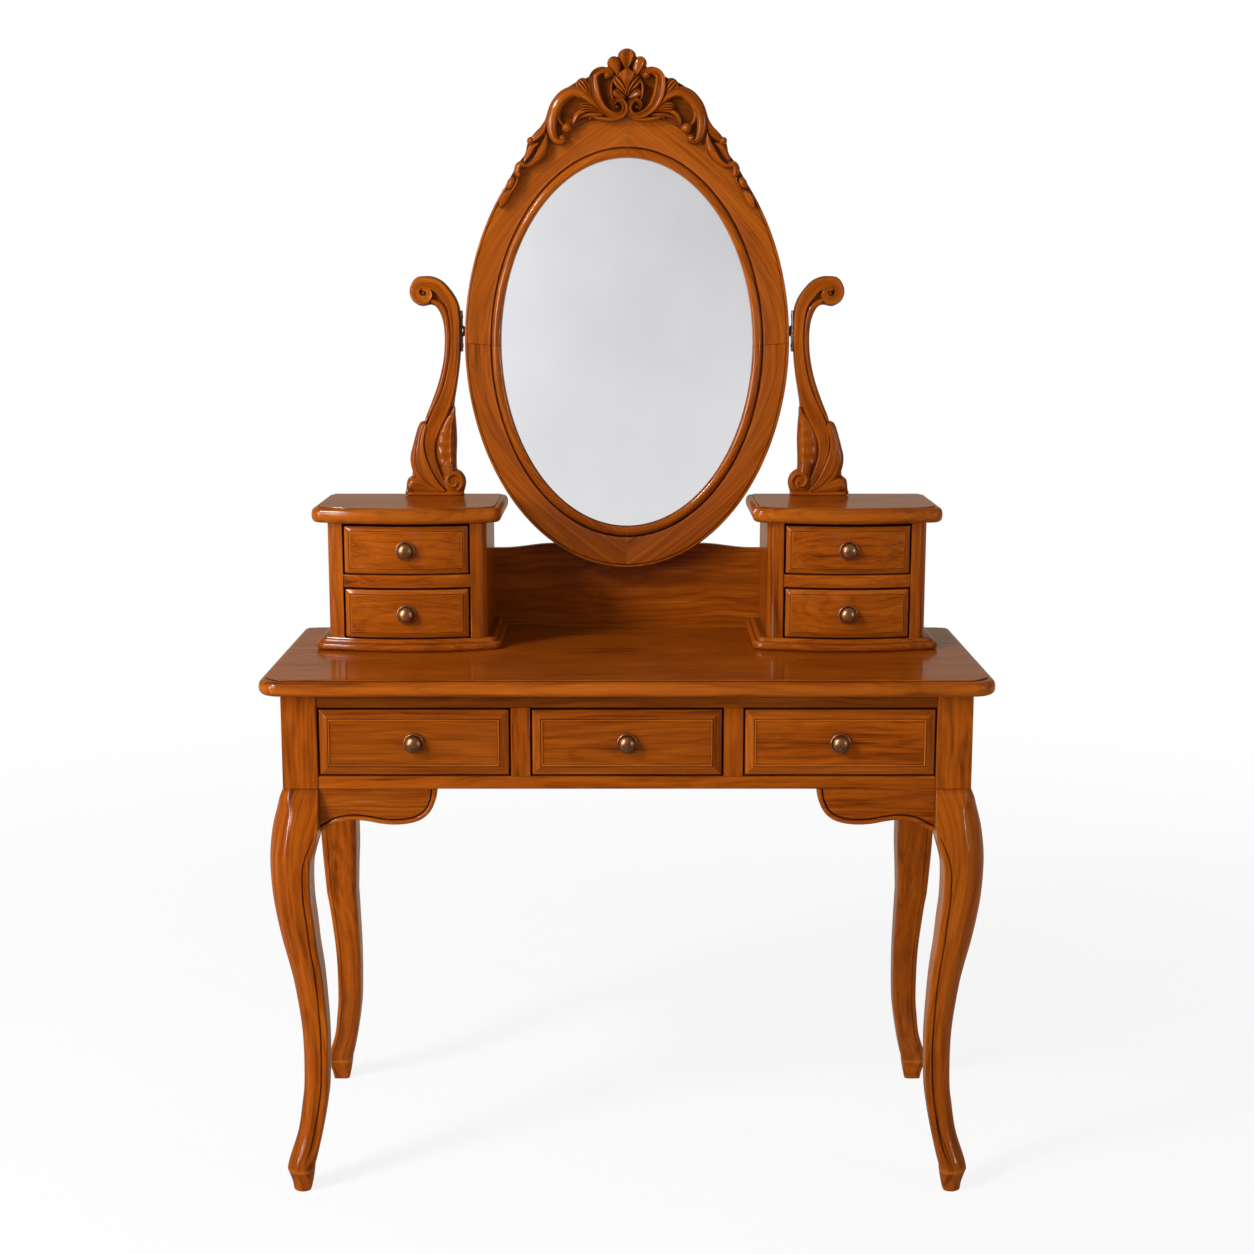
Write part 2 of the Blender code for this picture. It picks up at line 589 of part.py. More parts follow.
def make_cabinet(side, name, wood, plain_wood):
    """Case of one small cabinet."""
    plan = shift(bowed_board(CABINET_TOP_HALF, CABINET_TOP_FRONT_Y), side)
    top = plate(
        name + "_cabinet_top", plan, "XY", CABINET_UNDER_Z + TOUCH, CABINET_TOP_Z, wood,
        edge=CABINET_TOP_ROUND,
    )
    plan = shift(bowed_board(CABINET_BASE_HALF, CABINET_BASE_FRONT_Y), side)
    base = plate(
        name + "_cabinet_base", plan, "XY", CABINET_LOW_Z, CABINET_FLOOR_Z, wood,
        edge=CABINET_BASE_ROUND,
    )
    shade_round(top)
    shade_round(base)

    # Each side board ends in a column whose outer front corner is round.
    straight = CABINET_BODY_HALF - COLUMN_ROUND
    corner_y = bow_y(CABINET_BODY_FRONT_Y, straight)
    opening_y = bow_y(CABINET_BODY_FRONT_Y, SMALL_OPENING_HALF)
    inner = CABINET_BODY_HALF - CABINET_SIDE_THICK
    outline = [
        (inner, CABINET_BACK_Y), (inner, opening_y + COLUMN_DEPTH),
        (SMALL_OPENING_HALF, opening_y + COLUMN_DEPTH), (SMALL_OPENING_HALF, opening_y),
    ]
    outline += arc((straight, corner_y + COLUMN_ROUND), COLUMN_ROUND, 270, 360)
    outline += [(CABINET_BODY_HALF, CABINET_BACK_Y)]
    for label, way in (("outer", 1), ("inner", -1)):
        plan = [(way * u, y) for u, y in outline]
        board = plate(
            f"{name}_cabinet_{label}_side", shift(plan, side), "XY",
            CABINET_FLOOR_Z + TOUCH, CABINET_UNDER_Z, wood,
        )
        shade_round(board)

    back_half = inner - TOUCH
    middle = side * CABINET_CENTRE
    box(
        name + "_cabinet_back",
        (middle - back_half, CABINET_BACK_Y - CABINET_BACK_THICK, CABINET_FLOOR_Z + TOUCH),
        (middle + back_half, CABINET_BACK_Y, CABINET_UNDER_Z), plain_wood,
    )

    # The shelf is a rail with a bowed face and a thin board behind it, flush with the rail's top.
    half = SMALL_OPENING_HALF - TOUCH
    shelf_back = CABINET_BACK_Y - CABINET_BACK_THICK - TOUCH
    plan = [(half, shelf_back), (-half, shelf_back)] + bow_line(CABINET_BODY_FRONT_Y, -half, half)
    shelf = plate(name + "_cabinet_shelf", shift(plan, side), "XY", SHELF_LOW_Z, SHELF_TOP_Z, wood)
    behind = bow_y(CABINET_BODY_FRONT_Y, half) + SHELF_RAIL_DEPTH
    relief = box(
        name + "_shelf_relief", (middle - half - CUT_OVER, behind, SHELF_LOW_Z - CUT_OVER),
        (middle + half + CUT_OVER, shelf_back + CUT_OVER, SHELF_TOP_Z - SHELF_THICK), None,
    )
    boolean(shelf, relief, "DIFFERENCE")


def fielded_front(name, middle_x, half, low_z, high_z, face_y, thick, bevel, rise, wood, bowed):
    """Drawer front with a raised field inside mitred bevels, and bowed on the cabinets.

    The face's low rim stands at face_y, or on the bow through it.
    """
    bm = bmesh.new()
    middle = Vector((middle_x, face_y + thick / 2, (low_z + high_z) / 2))
    size = (2 * half, thick, high_z - low_z, 1.0)
    bmesh.ops.create_cube(bm, size=1.0, matrix=Matrix.Translation(middle) @ Matrix.Diagonal(size))
    if bowed:
        for k in range(1, BOW_STEPS):
            cut = Vector((middle_x - half + 2 * half * k / BOW_STEPS, 0.0, 0.0))
            everything = bm.verts[:] + bm.edges[:] + bm.faces[:]
            bmesh.ops.bisect_plane(bm, geom=everything, plane_co=cut, plane_no=(1.0, 0.0, 0.0))
    bm.normal_update()
    field = [face for face in bm.faces if face.normal.y < -0.5]
    for width, depth in ((bevel, rise), (FIELD_BEAD, 0.0), (FIELD_SINK, -FIELD_SINK)):
        bmesh.ops.inset_region(bm, faces=field, thickness=width, depth=depth, use_even_offset=True)
    if bowed:
        back_y = face_y + thick
        for vert in bm.verts:
            if vert.co.y < back_y - thick / 2:
                vert.co.y += bow_y(0.0, vert.co.x - middle_x)
    return mesh_object(name, bm, wood)


def make_knob(name, x, face_y, z, metal):
    """Turned knob: a plate on the drawer front, a neck and a dome."""
    reach = KNOB_LENGTH - KNOB_PLATE_THICK
    profile = [(r * KNOB_DOME_RADIUS, KNOB_PLATE_THICK + s * reach) for r, s in KNOB_DOME_SHARES]
    profile += [
        (KNOB_NECK_RADIUS, KNOB_PLATE_THICK + KNOB_NECK_END_SHARE * reach),
        (KNOB_NECK_RADIUS, KNOB_PLATE_THICK), (KNOB_PLATE_RADIUS, KNOB_PLATE_THICK),
        (KNOB_PLATE_RADIUS, 0.0), (0.0, 0.0),
    ]
    bm = bmesh.new()
    verts = [bm.verts.new((radius, 0.0, height)) for radius, height in profile]
    for upper, lower in zip(verts, verts[1:]):
        bm.edges.new((upper, lower))
    mesh = bpy.data.meshes.new(name)
    bm.to_mesh(mesh)
    bm.free()
    mesh.materials.append(metal)
    knob = bpy.data.objects.new(name, mesh)
    bpy.data.collections[PARTS].objects.link(knob)
    turn = knob.modifiers.new("turned", "SCREW")
    turn.steps = KNOB_STEPS
    turn.render_steps = KNOB_STEPS
    turn.use_merge_vertices = True
    turn.merge_threshold = MERGE
    turn.use_smooth_shade = True
    knob.location = (x, face_y - TOUCH, z)
    knob.rotation_euler = (math.pi / 2, 0.0, 0.0)
    return knob


def hang_knob(knob, empty):
    """Parent a knob that has its own place to its drawer's empty."""
    knob.parent = empty
    knob.matrix_parent_inverse = Matrix.Translation(-Vector(empty.location))


def make_table_drawer(name, middle_x, wood, plain_wood, metal):
    """One of the three drawers under the top."""
    low_z, high_z = BOARD_TOP_Z + DRAWER_REVEAL, OPENING_TOP_Z - DRAWER_REVEAL
    face_y = RAIL_FACE_Y - DRAWER_FRONT_PROUD
    half = DRAWER_WIDTH / 2
    front = fielded_front(
        name + "_drawer_front", middle_x, half, low_z, high_z, face_y, DRAWER_FRONT_THICK,
        FIELD_BEVEL, FIELD_RISE, wood, False,
    )
    # Two sides and a back, in one U, run on the drawer board.
    near = face_y + DRAWER_FRONT_THICK + TOUCH
    far = BACK_APRON_Y - DRAWER_BACK_ROOM
    outer = half - DRAWER_SIDE_SETBACK
    inner = outer - DRAWER_SIDE_THICK
    plan = (
        (-outer, near), (-inner, near), (-inner, far - DRAWER_SIDE_THICK), (inner, far - DRAWER_SIDE_THICK),
        (inner, near), (outer, near), (outer, far), (-outer, far),
    )
    sides = plate(
        name + "_drawer_sides", [(middle_x + x, y) for x, y in plan], "XY",
        BOARD_TOP_Z + RUNNING_CLEARANCE, high_z - DRAWER_SIDE_LOWER, plain_wood,
    )
    bottom_low = BOARD_TOP_Z + DRAWER_BOTTOM_LIFT
    bottom = box(
        name + "_drawer_bottom", (middle_x - inner + TOUCH, near, bottom_low),
        (middle_x + inner - TOUCH, far - DRAWER_SIDE_THICK - TOUCH, bottom_low + DRAWER_BOTTOM_THICK),
        plain_wood,
    )
    middle_z = (low_z + high_z) / 2
    field_y = face_y - FIELD_RISE + FIELD_SINK
    knob = make_knob(name + "_drawer_knob", middle_x, field_y, middle_z, metal)
    empty = hang_on((front, sides, bottom), name + "_drawer_slide", (middle_x, near, middle_z))
    hang_knob(knob, empty)


def make_small_drawer(name, side, floor_z, roof_z, wood, plain_wood, metal):
    """One of the four bowed drawers in the cabinets."""
    middle_x = side * CABINET_CENTRE
    low_z, high_z = floor_z + DRAWER_REVEAL, roof_z
    half = SMALL_OPENING_HALF - DRAWER_REVEAL
    # The front is flat behind, so its middle is thicker by the bow.
    thick = bow_y(SMALL_FRONT_THICK, half)
    front = fielded_front(
        name + "_drawer_front", middle_x, half, low_z, high_z, CABINET_BODY_FRONT_Y, thick,
        SMALL_FIELD_BEVEL, SMALL_FIELD_RISE, wood, True,
    )
    # The box is a block that is hollowed from the top and the front.
    near = CABINET_BODY_FRONT_Y + thick + TOUCH
    far = CABINET_BACK_Y - CABINET_BACK_THICK - SMALL_BACK_ROOM
    outer = half - DRAWER_SIDE_SETBACK
    inner = outer - SMALL_SIDE_THICK
    box_low = floor_z + RUNNING_CLEARANCE
    body = box(
        name + "_drawer_box", (middle_x - outer, near, box_low),
        (middle_x + outer, far, high_z - DRAWER_SIDE_LOWER), plain_wood,
    )
    hollow = box(
        name + "_drawer_hollow", (middle_x - inner, near - CUT_OVER, box_low + SMALL_BOTTOM_THICK),
        (middle_x + inner, far - SMALL_SIDE_THICK, high_z + CUT_OVER), None,
    )
    boolean(body, hollow, "DIFFERENCE")
    middle_z = (low_z + high_z) / 2
    field_y = CABINET_BODY_FRONT_Y - SMALL_FIELD_RISE + FIELD_SINK
    knob = make_knob(name + "_drawer_knob", middle_x, field_y, middle_z, metal)
    empty = hang_on((front, body), name + "_drawer_slide", (middle_x, near, middle_z))
    hang_knob(knob, empty)


def splash_top_z(x, half):
    """Top edge of the splash panel: it rises to a wing and dips in a scoop round the mirror's foot."""
    end_z = TABLE_HEIGHT + SPLASH_HEIGHT
    along = (SPLASH_WING_FROM_SHARE - abs(x) / half) / (SPLASH_WING_FROM_SHARE - SPLASH_WING_PEAK_SHARE)
    along = min(1.0, max(0.0, along))
    wing = end_z + SPLASH_WING_RISE * along * along * (3 - 2 * along)
    across = abs(x) / (FRAME_HALF_WIDTH + SPLASH_SCOOP_GAP)
    drop = math.sqrt(max(0.0, 1 - across * across))
    scoop = FRAME_CENTRE_Z - (FRAME_HALF_HEIGHT + SPLASH_SCOOP_GAP) * drop
    return min(wing, scoop)


def make_splash_panel(wood):
    """Panel behind the table top, between the cabinets and lapping onto their backs."""
    half = CABINET_CENTRE - CABINET_BODY_HALF + SPLASH_LAP
    low_z = TABLE_HEIGHT + TOUCH
    outline = [(-half, low_z), (half, low_z)]
    for k in range(SPLASH_STEPS + 1):
        x = half - 2 * half * k / SPLASH_STEPS
        outline.append((x, splash_top_z(x, half)))
    plate("splash_panel", outline, "XZ", SPLASH_FRONT_Y, SPLASH_BACK_Y, wood)


def oval(half_width, half_height, centre_z, steps=OVAL_STEPS):
    """Points of an oval in the XZ plane."""
    turns = [2 * math.pi * k / steps for k in range(steps)]
    return [(half_width * math.cos(t), centre_z + half_height * math.sin(t)) for t in turns]


def make_mirror(wood, plain_wood, glass_material):
    """Frame, glass and backing board. The frame's moulding widens towards top and bottom."""
    # The section runs from the rebate's edge over the front and round the back.
    rebate_share = REBATE_WIDTH / MOULDING_SIDE_WIDTH
    section = [(0.0, REBATE_Y)]
    section += [(across, FRAME_FRONT_Y - rise * LIP_RISE) for across, rise in MOULDING_SHARES]
    section += [(1.0, FRAME_BACK_Y), (rebate_share, FRAME_BACK_Y), (rebate_share, REBATE_Y)]
    rings = []
    for k in range(OVAL_STEPS):
        turn = 2 * math.pi * k / OVAL_STEPS
        ring = []
        for share, y in section:
            half_width = GLASS_HALF_WIDTH + share * MOULDING_SIDE_WIDTH
            half_height = GLASS_HALF_HEIGHT + share * MOULDING_END_WIDTH
            centre_z = GLASS_CENTRE_Z + share * (FRAME_CENTRE_Z - GLASS_CENTRE_Z)
            ring.append((half_width * math.cos(turn), y, centre_z + half_height * math.sin(turn)))
        rings.append(ring)
    frame = loft("mirror_frame", rings, wood, closed=True)
    shade_round(frame)
    for side, label in ((-1, "left"), (1, "right")):
        inner_x = side * (FRAME_HALF_WIDTH - PIVOT_PIN_IN_FRAME - PIVOT_CLEARANCE)
        outer_x = side * (FRAME_HALF_WIDTH + CUT_OVER)
        hole = rod(
            label + "_pivot_hole", (inner_x, PIVOT_Y, PIVOT_Z), (outer_x, PIVOT_Y, PIVOT_Z),
            PIVOT_PIN_RADIUS + PIVOT_CLEARANCE, None,
        )
        boolean(frame, hole, "DIFFERENCE")

    glass_half_width = GLASS_HALF_WIDTH + REBATE_WIDTH - GLASS_EDGE_ROOM
    glass_half_height = GLASS_HALF_HEIGHT + REBATE_WIDTH - GLASS_EDGE_ROOM
    outline = oval(glass_half_width, glass_half_height, GLASS_CENTRE_Z)
    glass_y = REBATE_Y + TOUCH
    backing_y = glass_y + GLASS_THICK + TOUCH
    glass = plate("mirror_glass", outline, "XZ", glass_y, glass_y + GLASS_THICK, glass_material)
    backing = plate("mirror_backing", outline, "XZ", backing_y, backing_y + BACKING_THICK, plain_wood)
    return [frame, glass, backing]


def make_crest(wood):
    """Carved crest as a solid of its outline, rebated over the frame's front and outer edge."""
    half = list(CREST_OUTER_SHARES + CREST_INNER_SHARES)
    other = [(-u, v) for u, v in reversed(half[1:-1])]
    outline = [(u * CREST_HALF_WIDTH, CREST_TOP_Z - v * CREST_HEIGHT) for u, v in half + other]
    front_y = FRAME_FRONT_Y - CREST_RELIEF
    crest = plate("mirror_crest", outline, "XZ", front_y, FRAME_FRONT_Y + CREST_BACKING, wood, smooth=True)
    seat = plate(
        "crest_seat",
        oval(FRAME_HALF_WIDTH + TOUCH, FRAME_HALF_HEIGHT + TOUCH, FRAME_CENTRE_Z, 2 * OVAL_STEPS), "XZ",
        FRAME_FRONT_Y - TOUCH, FRAME_BACK_Y + CUT_OVER, None,
    )
    boolean(crest, seat, "DIFFERENCE")
    return crest


def make_arm(side, name, wood):
    """Carved scroll arm, standing on the cabinet top, as a solid of its outline."""
    low_z = CABINET_TOP_Z + TOUCH
    outline = [(side * (ARM_OUTER_X - ARM_WIDTH * u), low_z + ARM_HEIGHT * v) for u, v in ARM_SHARES]
    front_y = PIVOT_Y - ARM_THICK / 2
    arm = plate(
        name + "_arm", outline, "XZ", front_y, front_y + ARM_THICK, wood,
        edge=ARM_EDGE, smooth=True, flat_line=low_z,
    )
    shade_round(arm)


def make_pivot(side, name, metal):
    """Plate on the arm, with a collar and a pin that the frame turns on."""
    outer_x = ARM_INNER_STEM_X - TOUCH
    plate_x = outer_x - PIVOT_PLATE_THICK
    half_y, half_z = PIVOT_PLATE_DEPTH / 2, PIVOT_PLATE_HEIGHT / 2
    near_x, far_x = sorted((side * plate_x, side * outer_x))
    pivot = box(
        name + "_pivot", (near_x, PIVOT_Y - half_y, PIVOT_Z - half_z),
        (far_x, PIVOT_Y + half_y, PIVOT_Z + half_z), metal,
    )
    inside = plate_x + PIVOT_PLATE_THICK / 2
    collar = rod(
        name + "_pivot_collar", (side * (FRAME_HALF_WIDTH + PIVOT_CLEARANCE), PIVOT_Y, PIVOT_Z),
        (side * inside, PIVOT_Y, PIVOT_Z), PIVOT_COLLAR_RADIUS, None,
    )
    pin = rod(
        name + "_pivot_pin", (side * (FRAME_HALF_WIDTH - PIVOT_PIN_IN_FRAME), PIVOT_Y, PIVOT_Z),
        (side * inside, PIVOT_Y, PIVOT_Z), PIVOT_PIN_RADIUS, None,
    )
    boolean(pivot, collar, "UNION")
    boolean(pivot, pin, "UNION")


def build():
    """Make every piece of the dressing table."""
    clear_scene()
    make_collection(PARTS)
    make_collection(CUTTERS)
    wood = make_material("polished_mahogany", (0.33, 0.095, 0.018), 0.28, 0.0)
    plain_wood = make_material("plain_drawer_wood", (0.42, 0.19, 0.07), 0.55, 0.0)
    bronze = make_material("antique_bronze", (0.20, 0.10, 0.05), 0.30, 1.0)
    steel = make_material("grey_steel", (0.45, 0.46, 0.47), 0.35, 1.0)
    mirror = make_material("silvered_glass", (0.86, 0.87, 0.88), 0.03, 1.0)

    make_table_top(wood)
    for front, row in ((True, "front"), (False, "rear")):
        for side, name in ((-1, "left"), (1, "right")):
            make_leg(f"{row}_{name}_leg", side, front, wood)
    make_case(wood, plain_wood)
    for place, name in ((-1, "left"), (0, "middle"), (1, "right")):
        make_table_drawer(name, place * DRAWER_PITCH, wood, plain_wood, bronze)
    for side, name in ((-1, "left"), (1, "right")):
        make_cabinet(side, name, wood, plain_wood)
        for level, floor_z, roof_z in (
            ("_lower", CABINET_FLOOR_Z, SHELF_LOW_Z - DRAWER_REVEAL),
            ("_upper", SHELF_TOP_Z, CABINET_UNDER_Z - SMALL_DRAWER_TOP_ROOM),
        ):
            make_small_drawer(name + level, side, floor_z, roof_z, wood, plain_wood, bronze)
        make_arm(side, name, wood)
        make_pivot(side, name, steel)
    make_splash_panel(wood)
    mirror_pieces = make_mirror(wood, plain_wood, mirror)
    mirror_pieces.append(make_crest(wood))
    hang_on(mirror_pieces, "mirror_tilt", (0.0, PIVOT_Y, PIVOT_Z))


build()
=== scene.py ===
"""Dressing table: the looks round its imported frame, as an add-on that is run as a script.

Metres, +Z up, front towards -Y. Left is the side of -X.
"""

import bpy
import numpy as np
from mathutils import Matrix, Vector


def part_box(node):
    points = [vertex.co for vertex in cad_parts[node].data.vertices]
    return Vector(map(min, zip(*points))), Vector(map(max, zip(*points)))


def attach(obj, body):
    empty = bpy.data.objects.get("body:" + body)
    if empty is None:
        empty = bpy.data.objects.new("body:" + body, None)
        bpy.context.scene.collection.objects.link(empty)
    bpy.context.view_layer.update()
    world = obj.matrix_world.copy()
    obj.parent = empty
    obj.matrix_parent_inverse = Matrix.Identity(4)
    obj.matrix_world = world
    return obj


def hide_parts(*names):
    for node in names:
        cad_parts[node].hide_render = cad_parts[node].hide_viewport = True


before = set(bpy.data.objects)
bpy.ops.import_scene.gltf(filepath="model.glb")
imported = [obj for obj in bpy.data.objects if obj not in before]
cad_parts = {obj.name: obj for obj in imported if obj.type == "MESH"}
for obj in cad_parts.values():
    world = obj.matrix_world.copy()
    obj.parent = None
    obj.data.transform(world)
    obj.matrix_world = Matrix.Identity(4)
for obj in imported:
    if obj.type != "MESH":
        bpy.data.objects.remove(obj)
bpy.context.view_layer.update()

bl_info = {
    "name": "Dressing table",
    "version": (1, 0, 0),
    "blender": (4, 5, 0),
    "location": "3D View > Sidebar > Dressing table",
    "description": "Builds the carved and lacquered pieces of a dressing table on its frame",
    "category": "Object",
}

MM = 0.001
SIDES = (("left", -1), ("right", 1))
SHARP_ANGLE = 33.0


def linear(code):
    """Linear red, green and blue of an sRGB hex colour."""
    parts = np.array([int(code[i:i + 2], 16) for i in (1, 3, 5)]) / 255
    return tuple(np.where(parts <= 0.04045, parts / 12.92, ((parts + 0.055) / 1.055) ** 2.4).tolist())


def corners(node):
    """Lowest and highest corner of a node of the frame, as two arrays."""
    low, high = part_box(node)
    return np.array(low), np.array(high)


# Curves and surfaces


def smooth_line(points, count):
    """Smooth line through points of any dimension, as count rows.

    Each stretch is the cubic that passes its two ends with the slope between their neighbours, and
    the line is then walked in equal steps of the points' own order.
    """
    p = np.asarray(points, float)
    before, after = 2 * p[0] - p[1], 2 * p[-1] - p[-2]
    q = np.vstack((before, p, after))
    t = np.linspace(0, len(p) - 1, count)
    k = np.minimum(t.astype(int), len(p) - 2)
    t = (t - k)[:, None]
    a, b, c, d = q[k], q[k + 1], q[k + 2], q[k + 3]
    return 0.5 * (2 * b + (c - a) * t + (2 * a - 5 * b + 4 * c - d) * t ** 2 + (3 * b - a - 3 * c + d) * t ** 3)


def even_line(points, count):
    """Smooth line through points of the plane, walked in equal steps of its length."""
    fine = smooth_line(points, 12 * len(points))
    run = np.r_[0, np.cumsum(np.linalg.norm(np.diff(fine[:, :2], axis=0), axis=1))]
    at = np.linspace(0, run[-1], count)
    return np.column_stack([np.interp(at, run, column) for column in fine.T])


def eased(value, start, end):
    """Smooth step of a value: 0 at start, 1 at end, with no slope at both."""
    share = np.clip((value - start) / (end - start), 0, 1)
    return share * share * (3 - 2 * share)


def side_of(line):
    """Unit vectors across a plane line, a quarter turn to the left of its direction."""
    along = np.gradient(line, axis=0)
    along /= np.linalg.norm(along, axis=1)[:, None] + 1e-12
    return np.column_stack((-along[:, 1], along[:, 0]))


def skin(rows, dark=0.0, flat_caps=False):
    """Closed shape over rows of equal closed rings.

    Neighbouring points of neighbouring rings make four-sided faces. The ends are closed by fans to
    their middle, or by one face each.
    """
    rows = np.asarray(rows, float)
    count, size = rows.shape[:2]
    points = rows.reshape(-1, 3)
    shade = np.broadcast_to(np.asarray(dark, float), (count, size)).reshape(-1)
    index = np.arange(count * size).reshape(count, size)
    turned = np.roll(index, -1, axis=1)
    faces = np.stack((index[:-1], turned[:-1], turned[1:], index[1:]), axis=2).reshape(-1, 4).tolist()
    if flat_caps:
        faces += [index[0][::-1].tolist(), index[-1].tolist()]
    else:
        first, last = len(points), len(points) + 1
        points = np.vstack((points, rows[0].mean(0), rows[-1].mean(0)))
        shade = np.r_[shade, shade[index[0]].mean(), shade[index[-1]].mean()]
        faces += np.column_stack((turned[0], index[0], np.full(size, first))).tolist()
        faces += np.column_stack((index[-1], turned[-1], np.full(size, last))).tolist()
    return outward({"points": points, "faces": faces, "dark": shade})


def outward(shape):
    """Turn all faces of a closed shape over if the volume that they hold comes out negative."""
    points = shape["points"] - shape["points"].mean(0)
    sizes = np.array([len(face) for face in shape["faces"]])
    volume = 0.0
    for size in np.unique(sizes):
        if size > 4:
            continue
        chosen = points[np.array([face for face in shape["faces"] if len(face) == size])]
        for k in range(1, size - 1):
            volume += np.einsum("ij,ij->", chosen[:, 0], np.cross(chosen[:, k], chosen[:, k + 1]))
    for face in shape["faces"]:
        if len(face) > 4:
            ring = points[face]
            area = np.cross(ring, np.roll(ring, -1, axis=0)).sum(0)
            volume += ring.mean(0) @ area
    if volume < 0:
        shape["faces"] = [face[::-1] for face in shape["faces"]]
    return shape


def rest_of(name):
    """Where a piece was cut from the log, from the letters of its name, so that no two boards match.

    It is metres along the grain, and up to 30 mm across and 20 to 55 mm out from the log's heart.
    """
    number = sum((k + 1) * ord(letter) for k, letter in enumerate(name))
    return np.array([number * 0.617 % 7, number * 0.0137 % 0.06 - 0.03, 0.020 + number * 0.0091 % 0.035])


def grained(shape, name, axis="X", lean=0.0):
    """Lay the wood's own coordinates over a shape: along the grain, across it, and into the board.

    The grain runs along the axis, and leans by a share of the distance across.
    """
    points = shape["points"]
    x, y, z = (points - (points.min(0) + points.max(0)) / 2).T
    along, across, deep = {"X": (x, z, y), "Y": (y, x, z), "Z": (z, x, y), "TOP": (x, y, z)}[axis]
    shape["grain"] = np.column_stack((along, across + lean * along, deep)) + rest_of(name)
    return shape


def read_all(items, key, kind, width=1):
    """One property of all faces or corners of a mesh as an array."""
    values = np.empty(len(items) * width, kind)
    items.foreach_get(key, values)
    return values.reshape(-1, width) if width > 1 else values


def level_flats(mesh, limit):
    """Set the corner normals so that wide flat faces stay flat next to small rounds.

    A corner's normal is the sum, over the faces at its point that lean from its own face by less
    than the limit, of face normal times face area.
    """
    point = read_all(mesh.loops, "vertex_index", np.int32)
    normal = read_all(mesh.polygons, "normal", np.float32, 3)
    area = read_all(mesh.polygons, "area", np.float32)
    face = np.repeat(np.arange(len(area)), read_all(mesh.polygons, "loop_total", np.int32))
    order = np.argsort(point, kind="stable")
    count = np.bincount(point, minlength=len(mesh.vertices))
    start = np.cumsum(count) - count
    near = count[point]
    own = np.repeat(np.arange(len(point)), near)
    step = np.arange(len(own)) - np.repeat(np.cumsum(near) - near, near)
    other = face[order[start[point][own] + step]]
    close = np.einsum("ij,ij->i", normal[face[own]], normal[other]) > np.cos(np.radians(limit))
    part = normal[other] * (area[other] * close)[:, None]
    total = np.column_stack([np.bincount(own, part[:, k], len(point)) for k in range(3)])
    total /= np.linalg.norm(total, axis=1)[:, None] + 1e-20
    mesh.normals_split_custom_set(total.tolist())


# How much darker (or, below zero, paler) each board is painted than the others: a painted shadow under the top's
# overhang on the upper rail, painted shade on the splash panel, and on the other boards painted shade (above zero) and
# painted light (below zero) that even out how brightly the lamps light them.
PAINTED_BOARD_SHADE = {
    "left_drawer_front_board": 0.24, "middle_drawer_front_board": 0.22, "upper_rail_board": 0.44,
    "left_lower_drawer_front_board": -0.06, "left_upper_drawer_front_board": -0.06,
    "right_lower_drawer_front_board": -0.06, "right_upper_drawer_front_board": -0.06,
    "splash_panel_board": 0.18, "left_bracket_carved": 0.20, "right_bracket_carved": 0.10,
    "mirror_frame_quarters": -0.12, "front_right_leg_carved": -0.08,
}


def piece(name, shapes, node, body="table", slot="polished_mahogany", sharp=SHARP_ANGLE):
    """Put shapes together as one object in the finish of its slot, which stands for a node."""
    points = np.vstack([shape["points"] for shape in shapes])
    starts = np.cumsum([0] + [len(shape["points"]) for shape in shapes])
    faces = [[k + start for k in face] for shape, start in zip(shapes, starts) for face in shape["faces"]]
    mesh = bpy.data.meshes.new(name)
    mesh.from_pydata(points.tolist(), [], faces)
    dark = mesh.attributes.new("dark", "FLOAT", "POINT")
    # Each board's painted shade, or below zero its painted light, is added to its darkness here.
    shade = np.concatenate([shape["dark"] for shape in shapes]) + PAINTED_BOARD_SHADE.get(name, 0.0)
    dark.data.foreach_set("value", shade.astype(np.float32))
    if all("grain" in shape for shape in shapes):
        grain = mesh.attributes.new("grain", "FLOAT_VECTOR", "POINT")
        laid = np.vstack([shape["grain"] for shape in shapes])
        grain.data.foreach_set("vector", laid.astype(np.float32).ravel())
    mesh.shade_smooth()
    level_flats(mesh, sharp)
    mesh.materials.append(finish_of(slot))
    obj = bpy.data.objects.new(name, mesh)
    bpy.context.scene.collection.objects.link(obj)
    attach(obj, body)
    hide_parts(node)
    return obj


def small_round(low, high, radius, steps):
    """Two lines along a small round at both ends of a stretch: how far in, and where along it.

    Over a quarter turn the way in is the radius times one minus the sine, and the way along it is the
    radius times one minus the cosine.
    """
    turn = np.linspace(0, np.pi / 2, steps)
    inset, rise = radius * (1 - np.sin(turn)), radius * (1 - np.cos(turn))
    return np.r_[inset, inset[::-1]], np.r_[low + rise, high - rise[::-1]]


def plan_ring(half, front, back, front_round, back_round, flat=1.0, bow=None, steps=7):
    """Outline of a board seen from above: a rectangle with rounded corners.

    A corner is its chord plus flat times the way from the chord to the circle, so 1 is round and 0
    is clipped. The front line falls back by bow(x).
    """
    bow = bow or (lambda x: 0 * x)
    share = np.linspace(0, 1, steps)[:, None]
    parts = []
    for sign, turn, radius, edge in (
        (-1, 180, front_round, front), (1, 270, front_round, front),
        (1, 0, back_round, back), (-1, 90, back_round, back),
    ):
        straight = half - radius
        centre_y = edge + radius + bow(straight) if turn in (180, 270) else edge - radius
        angle = np.radians(turn + 90 * share)
        circle = np.array([[sign * straight, centre_y]]) + radius * np.hstack((np.cos(angle), np.sin(angle)))
        chord = circle[0] + (circle[-1] - circle[0]) * share
        parts.append(chord + flat * (circle - chord))
        if turn == 180:
            x = np.linspace(-straight, straight, 34)[1:-1]
            parts.append(np.column_stack((x, front + bow(x))))
    return np.vstack(parts)


